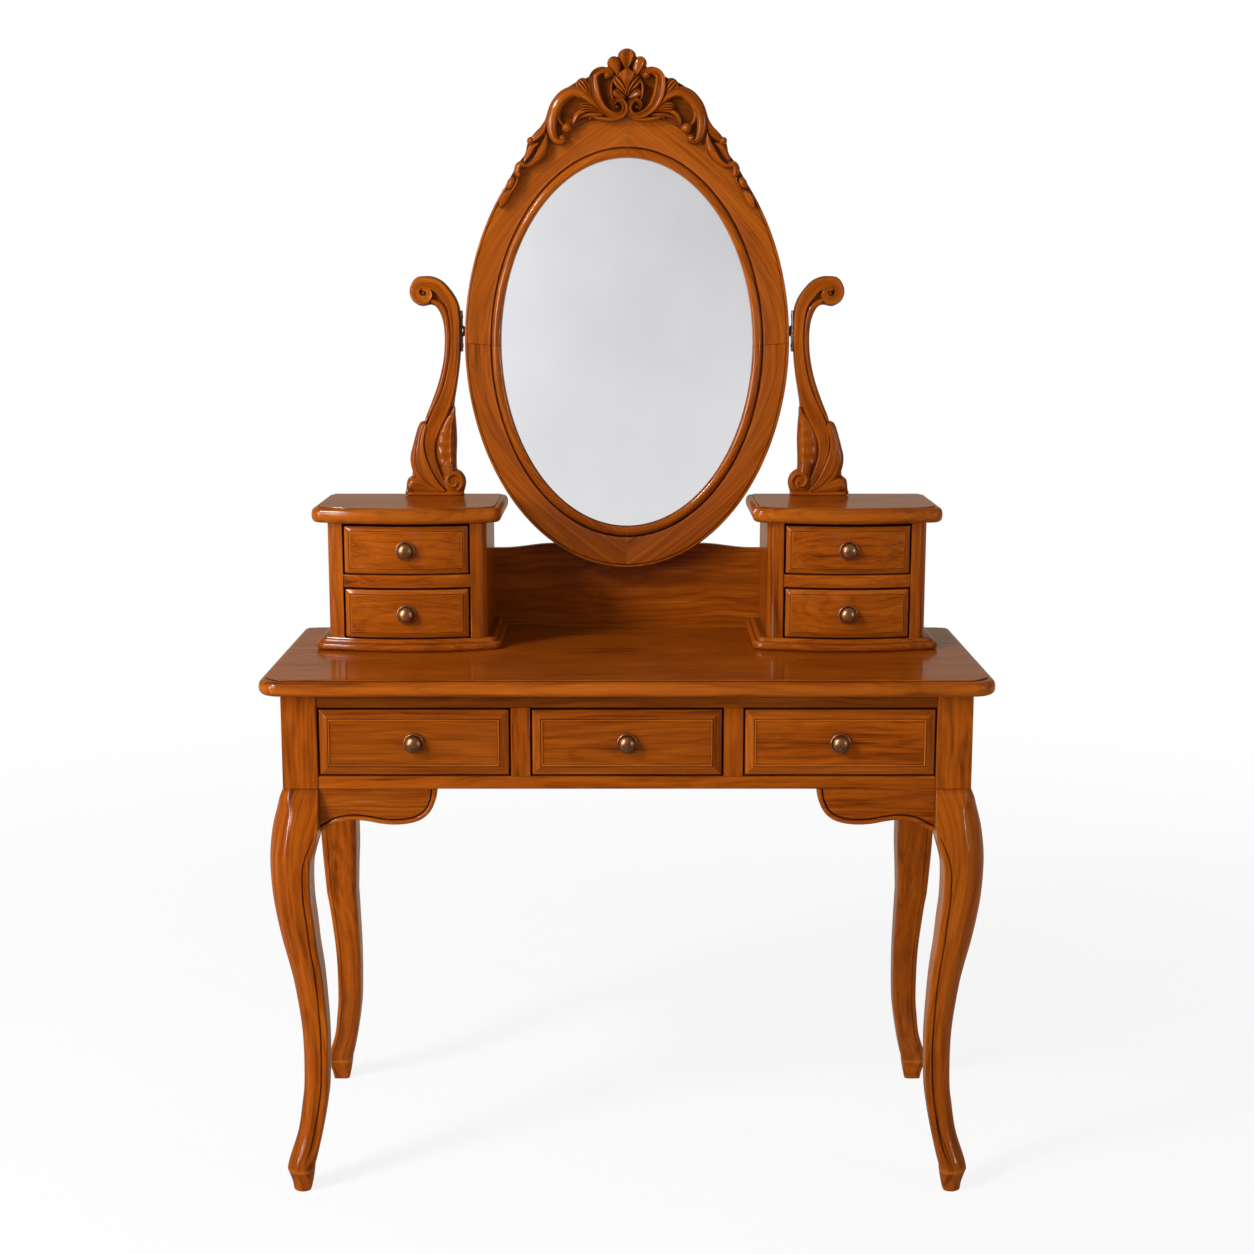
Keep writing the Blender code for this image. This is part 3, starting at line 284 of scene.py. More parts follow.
def round_board(low, high, edge=0.0010, axis="X", name="", steps=4):
    """Straight board with a small round on every edge.

    Rings are rounded rectangles, drawn in towards both ends by a small round and once more at the
    end itself.
    """
    low, high = np.array(low, float), np.array(high, float)
    middle = (low + high) / 2
    half = (high - low) / 2
    inset, height = small_round(low[2], high[2], edge, steps)
    inset, height = np.r_[edge * 1.6, inset, edge * 1.6], np.r_[low[2], height, high[2]]
    angles = np.radians(np.concatenate([np.linspace(a, a + 90, steps) for a in (180, 270, 0, 90)]))
    sign_x = np.repeat((-1, 1, 1, -1), steps)
    sign_y = np.repeat((-1, -1, 1, 1), steps)
    radius = np.maximum(edge - inset * 0.5, edge * 0.35)[:, None]
    x = middle[0] + sign_x * (half[0] - inset[:, None] - radius) + radius * np.cos(angles)
    y = middle[1] + sign_y * (half[1] - inset[:, None] - radius) + radius * np.sin(angles)
    rows = np.stack((x, y, np.broadcast_to(height[:, None], x.shape)), axis=2)
    return grained(skin(rows), name, axis)


def turned_shape(profile, centre, dark=0.0, steps=48):
    """Turned shape about an axis towards the front: radius and reach of each point of the profile."""
    profile = np.asarray(profile, float)
    angle = np.linspace(0, 2 * np.pi, steps, endpoint=False)
    x = centre[0] + profile[:, :1] * np.cos(angle)
    z = centre[2] + profile[:, :1] * np.sin(angle)
    y = centre[1] - np.broadcast_to(profile[:, 1:2], x.shape)
    return skin(np.stack((x, y, z), axis=2), dark)


def oval_ring(half_width, half_height, centre_z, angle):
    """Points of an oval in the mirror's plane: cosine times the width, sine times the height."""
    return half_width * np.cos(angle), centre_z + half_height * np.sin(angle)


# Sections across a carved leaf: place from one edge (-1) to the other (1), height as a share of the crown, and
# darkness: painted shade at the edges where the leaf meets the ground, and painted highlight (below zero) on the
# ridges.
SECTIONS = {
    "round": (
        (-1.00, 0.00, 0.8), (-0.94, 0.34, 0.4), (-0.78, 0.64, 0.0), (-0.42, 0.92, 0.0),
        (0.00, 1.00, -0.05), (0.42, 0.92, 0.0),
        (0.78, 0.64, 0.0), (0.94, 0.34, 0.4), (1.00, 0.00, 0.8)),
    "band": (
        (-1.00, 0.00, 0.7), (-0.96, 0.34, 0.1), (-0.86, 0.62, -0.05), (-0.66, 0.88, -0.1),
        (-0.45, 0.99, -0.1), (-0.20, 1.00, 0.0),
        (0.15, 0.93, 0.0), (0.50, 0.80, 0.05), (0.78, 0.66, 0.1), (0.93, 0.48, 0.3), (1.00, 0.00, 0.9)),
    "arris": (
        (-1.00, 0.00, 0.8), (-0.96, 0.36, 0.1), (-0.82, 0.56, 0.1), (-0.62, 0.78, 0.05),
        (-0.50, 0.97, -0.2), (-0.45, 1.00, -0.3),
        (-0.39, 0.96, -0.2), (-0.10, 0.92, 0.0), (0.30, 0.86, 0.0), (0.70, 0.68, 0.05),
        (0.92, 0.42, 0.2), (1.00, 0.00, 0.8)),
    "ridge": (
        (-1.00, 0.00, 0.8), (-0.95, 0.34, 0.2), (-0.75, 0.60, 0.05), (-0.40, 0.86, 0.0),
        (0.10, 0.95, 0.0), (0.38, 0.96, -0.1),
        (0.48, 1.00, -0.3), (0.56, 0.94, -0.2), (0.75, 0.66, 0.1), (0.94, 0.40, 0.3),
        (1.00, 0.00, 0.8)),
    "cove": (
        (-1.00, 0.00, 0.8), (-0.96, 0.42, 0.2), (-0.84, 0.66, 0.05), (-0.68, 0.92, -0.1),
        (-0.60, 1.00, -0.3), (-0.53, 0.95, -0.15),
        (-0.30, 0.80, 0.1), (0.05, 0.70, 0.15), (0.45, 0.74, 0.1), (0.74, 0.90, 0.0),
        (0.84, 0.98, -0.3), (0.90, 0.92, -0.1),
        (0.97, 0.50, 0.3), (1.00, 0.00, 0.9)),
    "shell": (
        (-1.00, 0.00, 0.8), (-0.96, 0.40, 0.1), (-0.84, 0.58, 0.1), (-0.70, 0.80, 0.05),
        (-0.62, 0.98, -0.3), (-0.56, 0.97, -0.2),
        (-0.30, 0.95, 0.0), (0.00, 0.98, 0.0), (0.30, 0.95, 0.0), (0.56, 0.97, -0.2),
        (0.62, 0.98, -0.3), (0.70, 0.80, 0.05),
        (0.84, 0.58, 0.1), (0.96, 0.40, 0.1), (1.00, 0.00, 0.8)),
    "stem": (
        (-1.00, 0.00, 0.9), (-0.97, 0.45, 0.6), (-0.92, 0.80, 0.1), (-0.85, 0.95, -0.3),
        (-0.76, 0.97, -0.1), (-0.40, 0.93, 0.0),
        (0.00, 0.92, 0.0), (0.40, 0.95, 0.0), (0.58, 0.99, -0.1), (0.66, 1.00, -0.3), (0.74, 0.95, 0.0),
        (0.86, 0.76, 0.1),
        (0.95, 0.45, 0.3), (1.00, 0.00, 0.8)),
    "leaf": (
        (-1.00, 0.00, 0.8), (-0.95, 0.36, 0.2), (-0.80, 0.62, 0.0), (-0.55, 0.80, 0.0),
        (-0.36, 0.82, 0.1), (-0.30, 0.80, 0.4),
        (-0.24, 0.84, 0.1), (0.00, 0.93, 0.0), (0.24, 0.92, 0.1), (0.30, 0.89, 0.35),
        (0.36, 0.92, 0.05), (0.60, 0.97, 0.0),
        (0.80, 1.00, -0.1), (0.88, 0.99, -0.3), (0.95, 0.80, 0.0), (1.00, 0.00, 0.9)),
    "flat": (
        (-1.00, 0.00, 0.7), (-0.98, 0.50, 0.0), (-0.93, 0.72, -0.3), (-0.84, 0.94, -0.3),
        (-0.74, 1.00, -0.1), (0.00, 0.99, 0.0),
        (0.74, 1.00, -0.1), (0.84, 0.94, -0.3), (0.93, 0.72, -0.3), (0.98, 0.50, 0.0),
        (1.00, 0.00, 0.7)),
}


def section_of(kind):
    """Section of a carved leaf across its width, as places from -1 to 1, heights and darkness.

    A kind of the table is smoothed. "lobes 3" is three convex lobes side by side: their height is a
    half circle to a low power, less a sharp dip where two lobes meet.
    """
    if not kind.startswith("lobes"):
        return tuple(smooth_line(SECTIONS[kind], 3 * len(SECTIONS[kind])).T)
    count = int(kind.split()[1])
    v = np.linspace(-1, 1, 12 * count + 1)
    v = v + 0.035 * np.sin(np.pi * count * (v + 1) * 2) / count
    wave = np.abs(np.sin(count * np.pi * (v + 1) / 2))
    crown = np.clip(1 - v ** 2, 0, 1) ** 0.35
    # Darkness: painted shade in the dips where lobes meet, and a slight painted highlight on their crowns.
    return v, crown * (0.62 + 0.38 * wave ** 0.55), 1.1 * (1 - wave) ** 2.5 - 0.12 * wave ** 4


def carved(line, section, base, back, side=1, origin=(0.0, 0.0), count=46, rib=0.0, ribs=0, power=0.5):
    """Carved leaf, band or scroll that lies on a ground and rises towards the front.

    The line gives its middle, half width and crown height in millimetres. Across it lies the
    section. Towards both ends width and crown draw in like a circle whose radius is the half width
    there. Ribs are waves along the line that lift the crown by their share. The wood's grain follows
    the line.
    """
    v, height, dark = section
    fine = even_line(np.array(line) * MM, 6 * count)
    run = np.r_[0, np.cumsum(np.linalg.norm(np.diff(fine[:, :2], axis=0), axis=1))]
    share = np.linspace(0, 1, count)
    share = 0.5 * share + 0.25 * (1 - np.cos(np.pi * share))
    at = share * run[-1]
    x, z, half, crown = (np.interp(at, run, column) for column in fine.T)
    across = side_of(np.column_stack((x, z)))
    nearest = np.minimum(at / (half[0] + 1e-6), (run[-1] - at) / (half[-1] + 1e-6))
    ends = np.sqrt(np.clip(1 - (1 - np.clip(nearest, 0, 1)) ** 2, 0.0004, 1))
    wave = 1 + rib * np.sin(np.pi * ribs * share) ** 2 - rib
    half, crown = half * ends, crown * ends ** power * wave
    px = x[:, None] + across[:, :1] * half[:, None] * v
    pz = z[:, None] + across[:, 1:] * half[:, None] * v
    py = base - crown[:, None] * height
    # Painted shade in the dips between the ribs, and below on the stub that goes into the ground.
    shade = np.broadcast_to(dark, px.shape) + 0.35 * np.clip(1 - wave[:, None] / (1 - rib * 0.5), 0, 1)
    px, pz, py = (np.hstack((a, a[:, -1:], a[:, :1])) for a in (px, pz, py))
    py[:, -2:] = back
    shade = np.hstack((shade, np.full((count, 2), 0.5)))
    rows = np.stack((origin[0] + side * px, py, origin[1] + pz), axis=2)
    shape = skin(rows, shade)
    along = np.broadcast_to(at[:, None], px.shape)
    width = np.hstack((half[:, None] * v, half[:, None] * v[-1:], half[:, None] * v[:1]))
    grain = np.stack((along, width, py), axis=2).reshape(-1, 3)
    shape["grain"] = np.vstack((grain, grain[0], grain[-1])) + (x[0] * 30 + side, 0.03, 0.0)
    return shape


def boss(centre, half_width, half_height, turn, crown, base, back, side=1, origin=(0.0, 0.0)):
    """Carved bud: half an ellipsoid, turned in the board's plane, on a short stub into the ground."""
    angle = np.linspace(0, 2 * np.pi, 36, endpoint=False)
    lift = np.linspace(np.pi / 2 - 0.05, 0, 12)
    radius = np.r_[np.cos(lift), 1.0][:, None]
    reach = np.r_[np.sin(lift) * crown * MM, base - back]
    u, w = radius * np.cos(angle) * half_width * MM, radius * np.sin(angle) * half_height * MM
    c, s = np.cos(np.radians(turn)), np.sin(np.radians(turn))
    x = side * (centre[0] * MM + u * c - w * s) + origin[0]
    z = origin[1] + centre[1] * MM + u * s + w * c
    y = np.broadcast_to((base - reach)[:, None], x.shape)
    # Painted shade towards the bud's foot, where it meets the ground.
    dark = np.r_[np.zeros(9), 0.15, 0.5, 0.8, 0.8][:, None]
    return skin(np.stack((x, y, z), axis=2), dark)


def strip(upper, lower, front, back, dark=0.0, edge=0.0012):
    """Flat board between two lines of equal length, with a small round along both."""
    across = lower - upper
    across /= np.linalg.norm(across, axis=1)[:, None] + 1e-9
    rows = []
    for line, sign, depth, inset in (
        (upper, 1, front, edge), (upper, 1, front + 0.3 * edge, 0.3 * edge), (upper, 1, front + edge, 0),
        (upper, 1, back, 0), (lower, -1, back, 0), (lower, -1, front + edge, 0),
        (lower, -1, front + 0.3 * edge, 0.3 * edge), (lower, -1, front, edge),
    ):
        moved = line + sign * inset * across
        rows.append(np.column_stack((moved[:, 0], np.full(len(line), depth), moved[:, 1])))
    return skin(np.stack(rows, axis=1), dark, flat_caps=True)


def slab(outline, front, back, edge, dark=0.0):
    """Flat board of any outline between two depths, with its rims drawn in by a small round."""
    closed = np.vstack((outline[-1:], outline, outline[:1]))
    across = side_of(closed)[1:-1]
    area = np.sum(outline[:, 0] * np.roll(outline[:, 1], -1) - np.roll(outline[:, 0], -1) * outline[:, 1])
    across = across * np.sign(area)
    inset, depth = small_round(front, back, edge, 4)
    flat = outline[None, :, :] + across[None, :, :] * inset[:, None, None]
    y = np.broadcast_to(depth[:, None], flat.shape[:2])
    return skin(np.stack((flat[:, :, 0], y, flat[:, :, 1]), axis=2), dark, flat_caps=True)


# Materials

# Blender's wave rings lie this far apart, over their scale.
RING_UNIT = 0.3142


def feed(tree, node, sockets):
    """Give each named socket of a node a value, or another node's output."""
    for key, value in sockets.items():
        if isinstance(value, bpy.types.Node):
            value = value.outputs[0]
        if isinstance(value, bpy.types.NodeSocket):
            tree.links.new(value, node.inputs[key])
        else:
            node.inputs[key].default_value = value


def add(tree, kind, sockets=None, stops=(), **settings):
    """Add a node with its settings and links. Stops are a colour ramp's places and colours."""
    node = tree.nodes.new("ShaderNode" + kind)
    for key, value in settings.items():
        setattr(node, key, value)
    feed(tree, node, sockets or {})
    for _ in stops[2:]:
        node.color_ramp.elements.new(0.5)
    for k, (place, colour) in enumerate(stops):
        node.color_ramp.elements[k].position = place
        node.color_ramp.elements[k].color = (*colour, 1.0)
    return node


def new_material(name):
    """Empty material with its Principled shader linked to the output."""
    material = bpy.data.materials.new(name)
    material.use_nodes = True
    tree = material.node_tree
    tree.nodes.clear()
    shader = add(tree, "BsdfPrincipled")
    add(tree, "OutputMaterial", {"Surface": shader})
    return material, tree, shader


def drawn_out(tree, place, scale, detail, roughness):
    """Noise drawn out along a board: a spot is one over each scale long, in metres."""
    scaled = add(tree, "Mapping", {"Vector": place, "Scale": scale})
    return add(tree, "TexNoise", {"Vector": scaled, "Scale": 1.0, "Detail": detail, "Roughness": roughness})


def wood_pattern(tree, grain, wood):
    """Growth rings, broad figure, fibre streaks and pores of a planed board.

    Rings lie round the log's heart, which wanders by slow noise along the board, so a face cuts them
    in long pointed arches. The figure is 110 mm wide and 385 mm long, streaks are 10 by 200 mm, and
    fibres 2 by 120 mm. Pores are 1 by 14 mm, which is coarser than real ones so that they show.
    """
    slow = drawn_out(tree, grain, (2.6, 9.0, 9.0), 3.0, 0.5)
    wander = add(tree, "VectorMath", {0: slow.outputs["Color"], 1: (0.5, 0.5, 0.5)}, operation="SUBTRACT")
    bend = add(tree, "VectorMath", {0: wander, "Scale": 0.07}, operation="SCALE")
    bent = add(tree, "VectorMath", {0: grain, 1: bend}, operation="ADD")
    section = add(tree, "Mapping", {"Vector": bent, "Scale": (0.12, 1.0, 1.0)})
    rings = add(tree, "TexWave", {
        "Vector": section, "Scale": RING_UNIT / wood.ring_width, "Distortion": 1.2, "Detail": 3.0,
        "Detail Scale": 1.5, "Detail Roughness": 0.6,
    }, wave_type="RINGS", rings_direction="X", wave_profile="SIN")
    fibre = drawn_out(tree, grain, (8.0, 480.0, 480.0), 4.0, 0.65)
    streak = drawn_out(tree, bent, (5.0, 95.0, 95.0), 5.0, 0.6)
    pores = drawn_out(tree, grain, (70.0, 1000.0, 1000.0), 1.0, 0.4)
    return slow, rings.outputs["Fac"], fibre, streak, pores


def lacquered_wood(wood):
    """Mahogany, planed, stained red-brown and lacquered to a gloss.

    The eye gets warm orange-brown with dark streaks along each board, darker staining in pores and carved hollows
    together with painted shade in hollows, grooves, gaps and under overhangs, paler worn edges together with painted
    highlights on edges, beads and ridges, and a clear coat over fine open pores.
    """
    material, tree, shader = new_material("polished mahogany")
    grain = add(tree, "Attribute", attribute_name="grain").outputs["Vector"]
    slow, rings, fibre, streak, pores = wood_pattern(tree, grain, wood)
    mixed = add(tree, "Math", {0: fibre, 1: wood.fibre_strength}, operation="MULTIPLY")
    for noise, strength in ((streak, wood.streak_strength), (slow, wood.figure_strength)):
        mixed = add(tree, "Math", {0: noise, 1: strength, 2: mixed}, operation="MULTIPLY_ADD")
    total = wood.fibre_strength + wood.streak_strength + wood.figure_strength
    mixed = add(tree, "Math", {0: mixed, 1: total}, operation="DIVIDE")
    tone = add(tree, "ValToRGB", {"Fac": mixed}, (
        (0.36, wood.dark), (0.46, wood.middle), (0.56, wood.light), (0.68, wood.bright)))
    late = add(tree, "Math", {0: rings, 1: 4.0}, operation="POWER")
    late = add(tree, "Math", {0: late, 1: wood.ring_strength}, operation="MULTIPLY")
    pore = add(tree, "Math", {0: 0.36, 1: pores}, operation="SUBTRACT", use_clamp=True)
    pore = add(tree, "Math", {0: pore, 1: 5.0}, operation="MULTIPLY", use_clamp=True)
    pore = add(tree, "Math", {0: pore, 1: 0.25}, operation="MULTIPLY")
    # The darkness attribute: above zero it is staining in hollows and painted shade, below zero worn paler wood and
    # painted highlight.
    relief = add(tree, "Attribute", attribute_name="dark").outputs["Fac"]
    hollow = add(tree, "Math", {0: relief, 1: 1.0}, operation="MULTIPLY", use_clamp=True)
    rubbed_and_highlight = add(tree, "Math", {0: relief, 1: -1.0}, operation="MULTIPLY", use_clamp=True)
    # Here the painted shade and the painted highlight mix in with the late wood and the pores.
    for share, colour in ((late, wood.dark), (pore, wood.stain_and_shade), (hollow, wood.stain_and_shade), (rubbed_and_highlight, wood.bright)):
        tone = add(tree, "Mix", {0: share, 6: tone, 7: (*colour, 1.0)}, data_type="RGBA").outputs[2]
    smear = drawn_out(tree, grain, (14.0, 30.0, 30.0), 4.0, 0.6)
    rough = add(tree, "Math", {0: smear, 1: 0.16, 2: wood.roughness - 0.08}, operation="MULTIPLY_ADD")
    rough = add(tree, "Math", {0: hollow, 1: 0.18, 2: rough}, operation="MULTIPLY_ADD")
    height = add(tree, "Math", {0: pore, 1: -0.6, 2: fibre}, operation="MULTIPLY_ADD")
    bump = add(tree, "Bump", {"Height": height, "Strength": 0.10, "Distance": 0.0006})
    feed(tree, shader, {
        "Base Color": tone, "Roughness": rough, "Normal": bump, "IOR": 1.50, "Specular IOR Level": 0.04,
        "Coat Weight": wood.coat, "Coat Roughness": 0.075, "Coat IOR": 1.45})
    return material


def waxed_wood(wood):
    """Plain drawer wood, planed and waxed, for the insides that are seen when a drawer is open.

    The eye gets a paler, duller brown board with fine fibres and hardly any gloss.
    """
    material, tree, shader = new_material("plain drawer wood")
    place = add(tree, "TexCoord").outputs["Object"]
    turned = add(tree, "Mapping", {"Vector": place, "Rotation": (0.0, 0.0, np.pi / 2)})
    slow, rings, fibre, streak, pores = wood_pattern(tree, turned.outputs[0], wood)
    mixed = add(tree, "Math", {0: rings, 1: 0.12}, operation="MULTIPLY")
    for noise, strength in ((fibre, 0.48), (streak, 0.4)):
        mixed = add(tree, "Math", {0: noise, 1: strength, 2: mixed}, operation="MULTIPLY_ADD")
    tone = add(tree, "ValToRGB", {"Fac": mixed}, (
        (0.30, linear("#6A3D1C")), (0.48, linear("#915C30")), (0.66, linear("#AD7644"))))
    speck = add(tree, "Math", {0: pores, 1: 0.35}, operation="LESS_THAN")
    speck = add(tree, "Math", {0: speck, 1: 0.3}, operation="MULTIPLY")
    tone = add(tree, "Mix", {0: speck, 6: tone, 7: (*linear("#5A3416"), 1.0)}, data_type="RGBA")
    rough = add(tree, "Math", {0: slow, 1: 0.2, 2: 0.45}, operation="MULTIPLY_ADD")
    bump = add(tree, "Bump", {"Height": fibre, "Strength": 0.25, "Distance": 0.0008})
    feed(tree, shader, {
        "Base Color": tone.outputs[2], "Roughness": rough, "Normal": bump, "Specular IOR Level": 0.25})
    return material


def aged_bronze(metal):
    """Bronze, turned and darkened, rubbed bright where fingers touch it.

    The eye gets a brown metal with soft highlights, darker in its grooves and a little uneven.
    """
    material, tree, shader = new_material("antique bronze")
    place = add(tree, "TexCoord").outputs["Object"]
    cloud = add(tree, "TexNoise", {"Vector": place, "Scale": 160.0, "Detail": 4.0, "Roughness": 0.6})
    fine = add(tree, "TexNoise", {"Vector": place, "Scale": 900.0, "Detail": 2.0, "Roughness": 0.5})
    tone = add(tree, "ValToRGB", {"Fac": cloud}, ((0.30, metal.bronze_dark), (0.70, metal.bronze)))
    relief = add(tree, "Attribute", attribute_name="dark").outputs["Fac"]
    hollow = add(tree, "Math", {0: relief, 1: 0.85}, operation="MULTIPLY", use_clamp=True)
    tone = add(tree, "Mix", {0: hollow, 6: tone, 7: (*linear("#241005"), 1.0)}, data_type="RGBA")
    rough = add(tree, "Math", {
        0: cloud, 1: 0.14, 2: metal.bronze_roughness - 0.07}, operation="MULTIPLY_ADD")
    rough = add(tree, "Math", {0: hollow, 1: 0.25, 2: rough}, operation="MULTIPLY_ADD")
    bump = add(tree, "Bump", {"Height": fine, "Strength": 0.08, "Distance": 0.0003})
    feed(tree, shader, {"Base Color": tone.outputs[2], "Metallic": 0.85, "Roughness": rough, "Normal": bump})
    return material


def brushed_steel(metal):
    """Steel, brushed along its length, for the mirror's pivots.

    The eye gets a neutral grey metal with fine upright lines and soft reflections.
    """
    material, tree, shader = new_material("grey steel")
    place = add(tree, "TexCoord").outputs["Object"]
    lines = drawn_out(tree, place, (2600.0, 2600.0, 60.0), 3.0, 0.6)
    tone = add(tree, "ValToRGB", {"Fac": lines}, ((0.30, linear("#8F9092")), (0.70, metal.steel)))
    rough = add(tree, "Math", {0: lines, 1: 0.18, 2: 0.24}, operation="MULTIPLY_ADD")
    bump = add(tree, "Bump", {"Height": lines, "Strength": 0.12, "Distance": 0.0002})
    feed(tree, shader, {"Base Color": tone, "Metallic": 1.0, "Roughness": rough, "Normal": bump})
    return material


def silvered_glass(metal):
    """Float glass, silvered on its back and polished.

    The eye gets a clear reflection of the studio, very slightly grey, with a trace of dust.
    """
    material, tree, shader = new_material("silvered glass")
    place = add(tree, "TexCoord").outputs["Object"]
    haze = add(tree, "TexNoise", {"Vector": place, "Scale": 7.0, "Detail": 3.0, "Roughness": 0.5})
    tone = add(tree, "ValToRGB", {"Fac": haze}, ((0.30, linear("#EFEFF1")), (0.70, metal.mirror)))
    rough = add(tree, "Math", {0: haze, 1: 0.02, 2: 0.01}, operation="MULTIPLY_ADD")
    feed(tree, shader, {"Base Color": tone, "Metallic": 1.0, "Roughness": rough})
    return material


def finish_of(slot):
    """Find the finish of a slot, which the finishes' operator has made."""
    name = slot.replace("_", " ")
    found = bpy.data.materials.get(name)
    if found is None:
        raise RuntimeError(f"the finish {name} isn't made yet")
    return found


# Sizes and colours that a user would change


def colour(name, description, code):
    """Colour setting whose default is an sRGB hex colour."""
    return bpy.props.FloatVectorProperty(
        name=name, description=description, size=3, subtype="COLOR", min=0, max=1, default=linear(code))


class WoodSettings(bpy.types.PropertyGroup):
    """Stained wood of the whole table."""

    dark: colour("Dark streaks", "Colour of the late wood and the dark streaks", "#4A1A02")
    middle: colour("Ground", "Colour between the streaks", "#8A3F06")
    light: colour("Light streaks", "Colour of the light streaks", "#9E4D0A")
    # Also the colour of the painted highlights on edges, beads and ridges.
    bright: colour("Rubbed edges", "Colour of the palest fibres and of rubbed edges", "#B9661C")
    # Also the colour of the painted shade in carved hollows, grooves, gaps and creases.
    stain_and_shade: colour("Stain in hollows", "Colour of the stain left in pores and carved hollows", "#1C0800")
    roughness: bpy.props.FloatProperty(
        name="Roughness", description="How dull the wood under the coat is", default=0.30, min=0.1, max=0.8)
    coat: bpy.props.FloatProperty(
        name="Lacquer", description="How much clear lacquer lies on the wood", default=0.45, min=0, max=1)
    ring_width: bpy.props.FloatProperty(
        name="Ring width", description="Distance from one growth ring to the next", default=0.008, min=0.002,
        max=0.03, unit="LENGTH", precision=4)
    ring_strength: bpy.props.FloatProperty(
        name="Rings", description="How strongly growth rings show", default=0.26, min=0, max=1)
    fibre_strength: bpy.props.FloatProperty(
        name="Fibres", description="How strongly fine fibres show", default=0.34, min=0, max=1)
    streak_strength: bpy.props.FloatProperty(
        name="Streaks", description="How strongly long streaks show", default=0.44, min=0, max=1)
    figure_strength: bpy.props.FloatProperty(
        name="Figure", description="How strongly broad light and dark areas show", default=0.26, min=0, max=1)


class MetalSettings(bpy.types.PropertyGroup):
    """Knobs, pivots and mirror."""

    bronze: colour("Bronze", "Colour of the knobs", "#B98760")
    bronze_dark: colour("Dark bronze", "Colour of the knobs' darker patches", "#8A5735")
    bronze_roughness: bpy.props.FloatProperty(
        name="Bronze roughness", description="How dull the knobs are", default=0.36, min=0.05, max=0.8)
    steel: colour("Steel", "Colour of the mirror's pivots", "#B4B5B7")
    mirror: colour("Silvering", "Colour of the mirror's silvering", "#F6F6F7")


class TrimSettings(bpy.types.PropertyGroup):
    """Small carved and moulded sizes."""

    field_step: bpy.props.FloatProperty(
        name="Top step", description="Height of the raised field on the top boards",
        default=0.0013, min=0, max=0.003,
        unit="LENGTH", precision=4)
    board_edge: bpy.props.FloatProperty(
        name="Board edges", description="Round on the edges of plain boards",
        default=0.0012, min=0.0003, max=0.003,
        unit="LENGTH", precision=4)
    leg_groove: bpy.props.FloatProperty(
        name="Leg groove", description="Depth of the groove down each front leg",
        default=0.0016, min=0, max=0.003,
        unit="LENGTH", precision=4)
    bracket_bead: bpy.props.FloatProperty(
        name="Bracket bead", description="Width of the bead along each bracket's edge",
        default=0.0065, min=0.002,
        max=0.012, unit="LENGTH", precision=4)
    frame_bead: bpy.props.FloatProperty(
        name="Frame bead", description="Width of the bead round the mirror frame's outer edge",
        default=0.0042,
        min=0.002, max=0.008, unit="LENGTH", precision=4)


class StageSettings(bpy.types.PropertyGroup):
    """Floor, light and camera."""

    floor: colour("Floor", "Colour of the floor", "#F7F6F5")
    key_power: bpy.props.FloatProperty(
        name="Key light", description="Power of the large soft light at the upper left", default=95.0, min=0,
        subtype="POWER")
    strip_power: bpy.props.FloatProperty(
        name="Strip light", description="Power of the narrow bright light on the left",
        default=26.0, min=0, subtype="POWER")
    window_power: bpy.props.FloatProperty(
        name="Left window", description="Power of the wide soft light on the left",
        default=66.0, min=0, subtype="POWER")
    side_power: bpy.props.FloatProperty(
        name="Side light", description="Power of the soft light on the right",
        default=24.0, min=0, subtype="POWER")
    sky: bpy.props.FloatProperty(
        name="Room light", description="Strength of the even light from all sides",
        default=0.30, min=0, max=2)
    lens: bpy.props.FloatProperty(
        name="Lens", description="Focal length of the camera", default=57.416, min=10, max=300)


# Pieces

# Top boards: how deep the round nose of the edge is, and how far in its flat band ends.
NOSE_DEEP = 0.0080
TABLE_BAND = 0.0108
CABINET_BAND = 0.0098
FIELD_RINGS = 6

# Ovals in the mirror's plane: half width, half height and level of the middle.
GLASS_OVAL = (0.1915, 0.278, 1.200)
OUTER_OVAL = (0.2465, 0.3455, 1.2045)
SEAT_OVAL = (0.2469, 0.3459, 1.2045)
# Level of the frame's side joints, and how far its inner lip stands in front of its face.
JOINT_Z = 1.203
LIP_PROUD = 0.004


class DRESSING_OT_finishes(bpy.types.Operator):
    """Make the finishes, and give plain ones to the inner boards that are kept from the frame"""

    bl_idname = "dressing.finishes"
    bl_label = "Finishes"

    def execute(self, context):
        scene = context.scene
        lacquered_wood(scene.dressing_wood)
        plain = waxed_wood(scene.dressing_wood)
        aged_bronze(scene.dressing_metal)
        brushed_steel(scene.dressing_metal)
        silvered_glass(scene.dressing_metal)
        for name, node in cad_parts.items():
            if name.endswith(("_sides", "_bottom", "_box", "_cabinet_back", "_board", "_backing")):
                node.data.materials.clear()
                node.data.materials.append(plain)
        return {"FINISHED"}


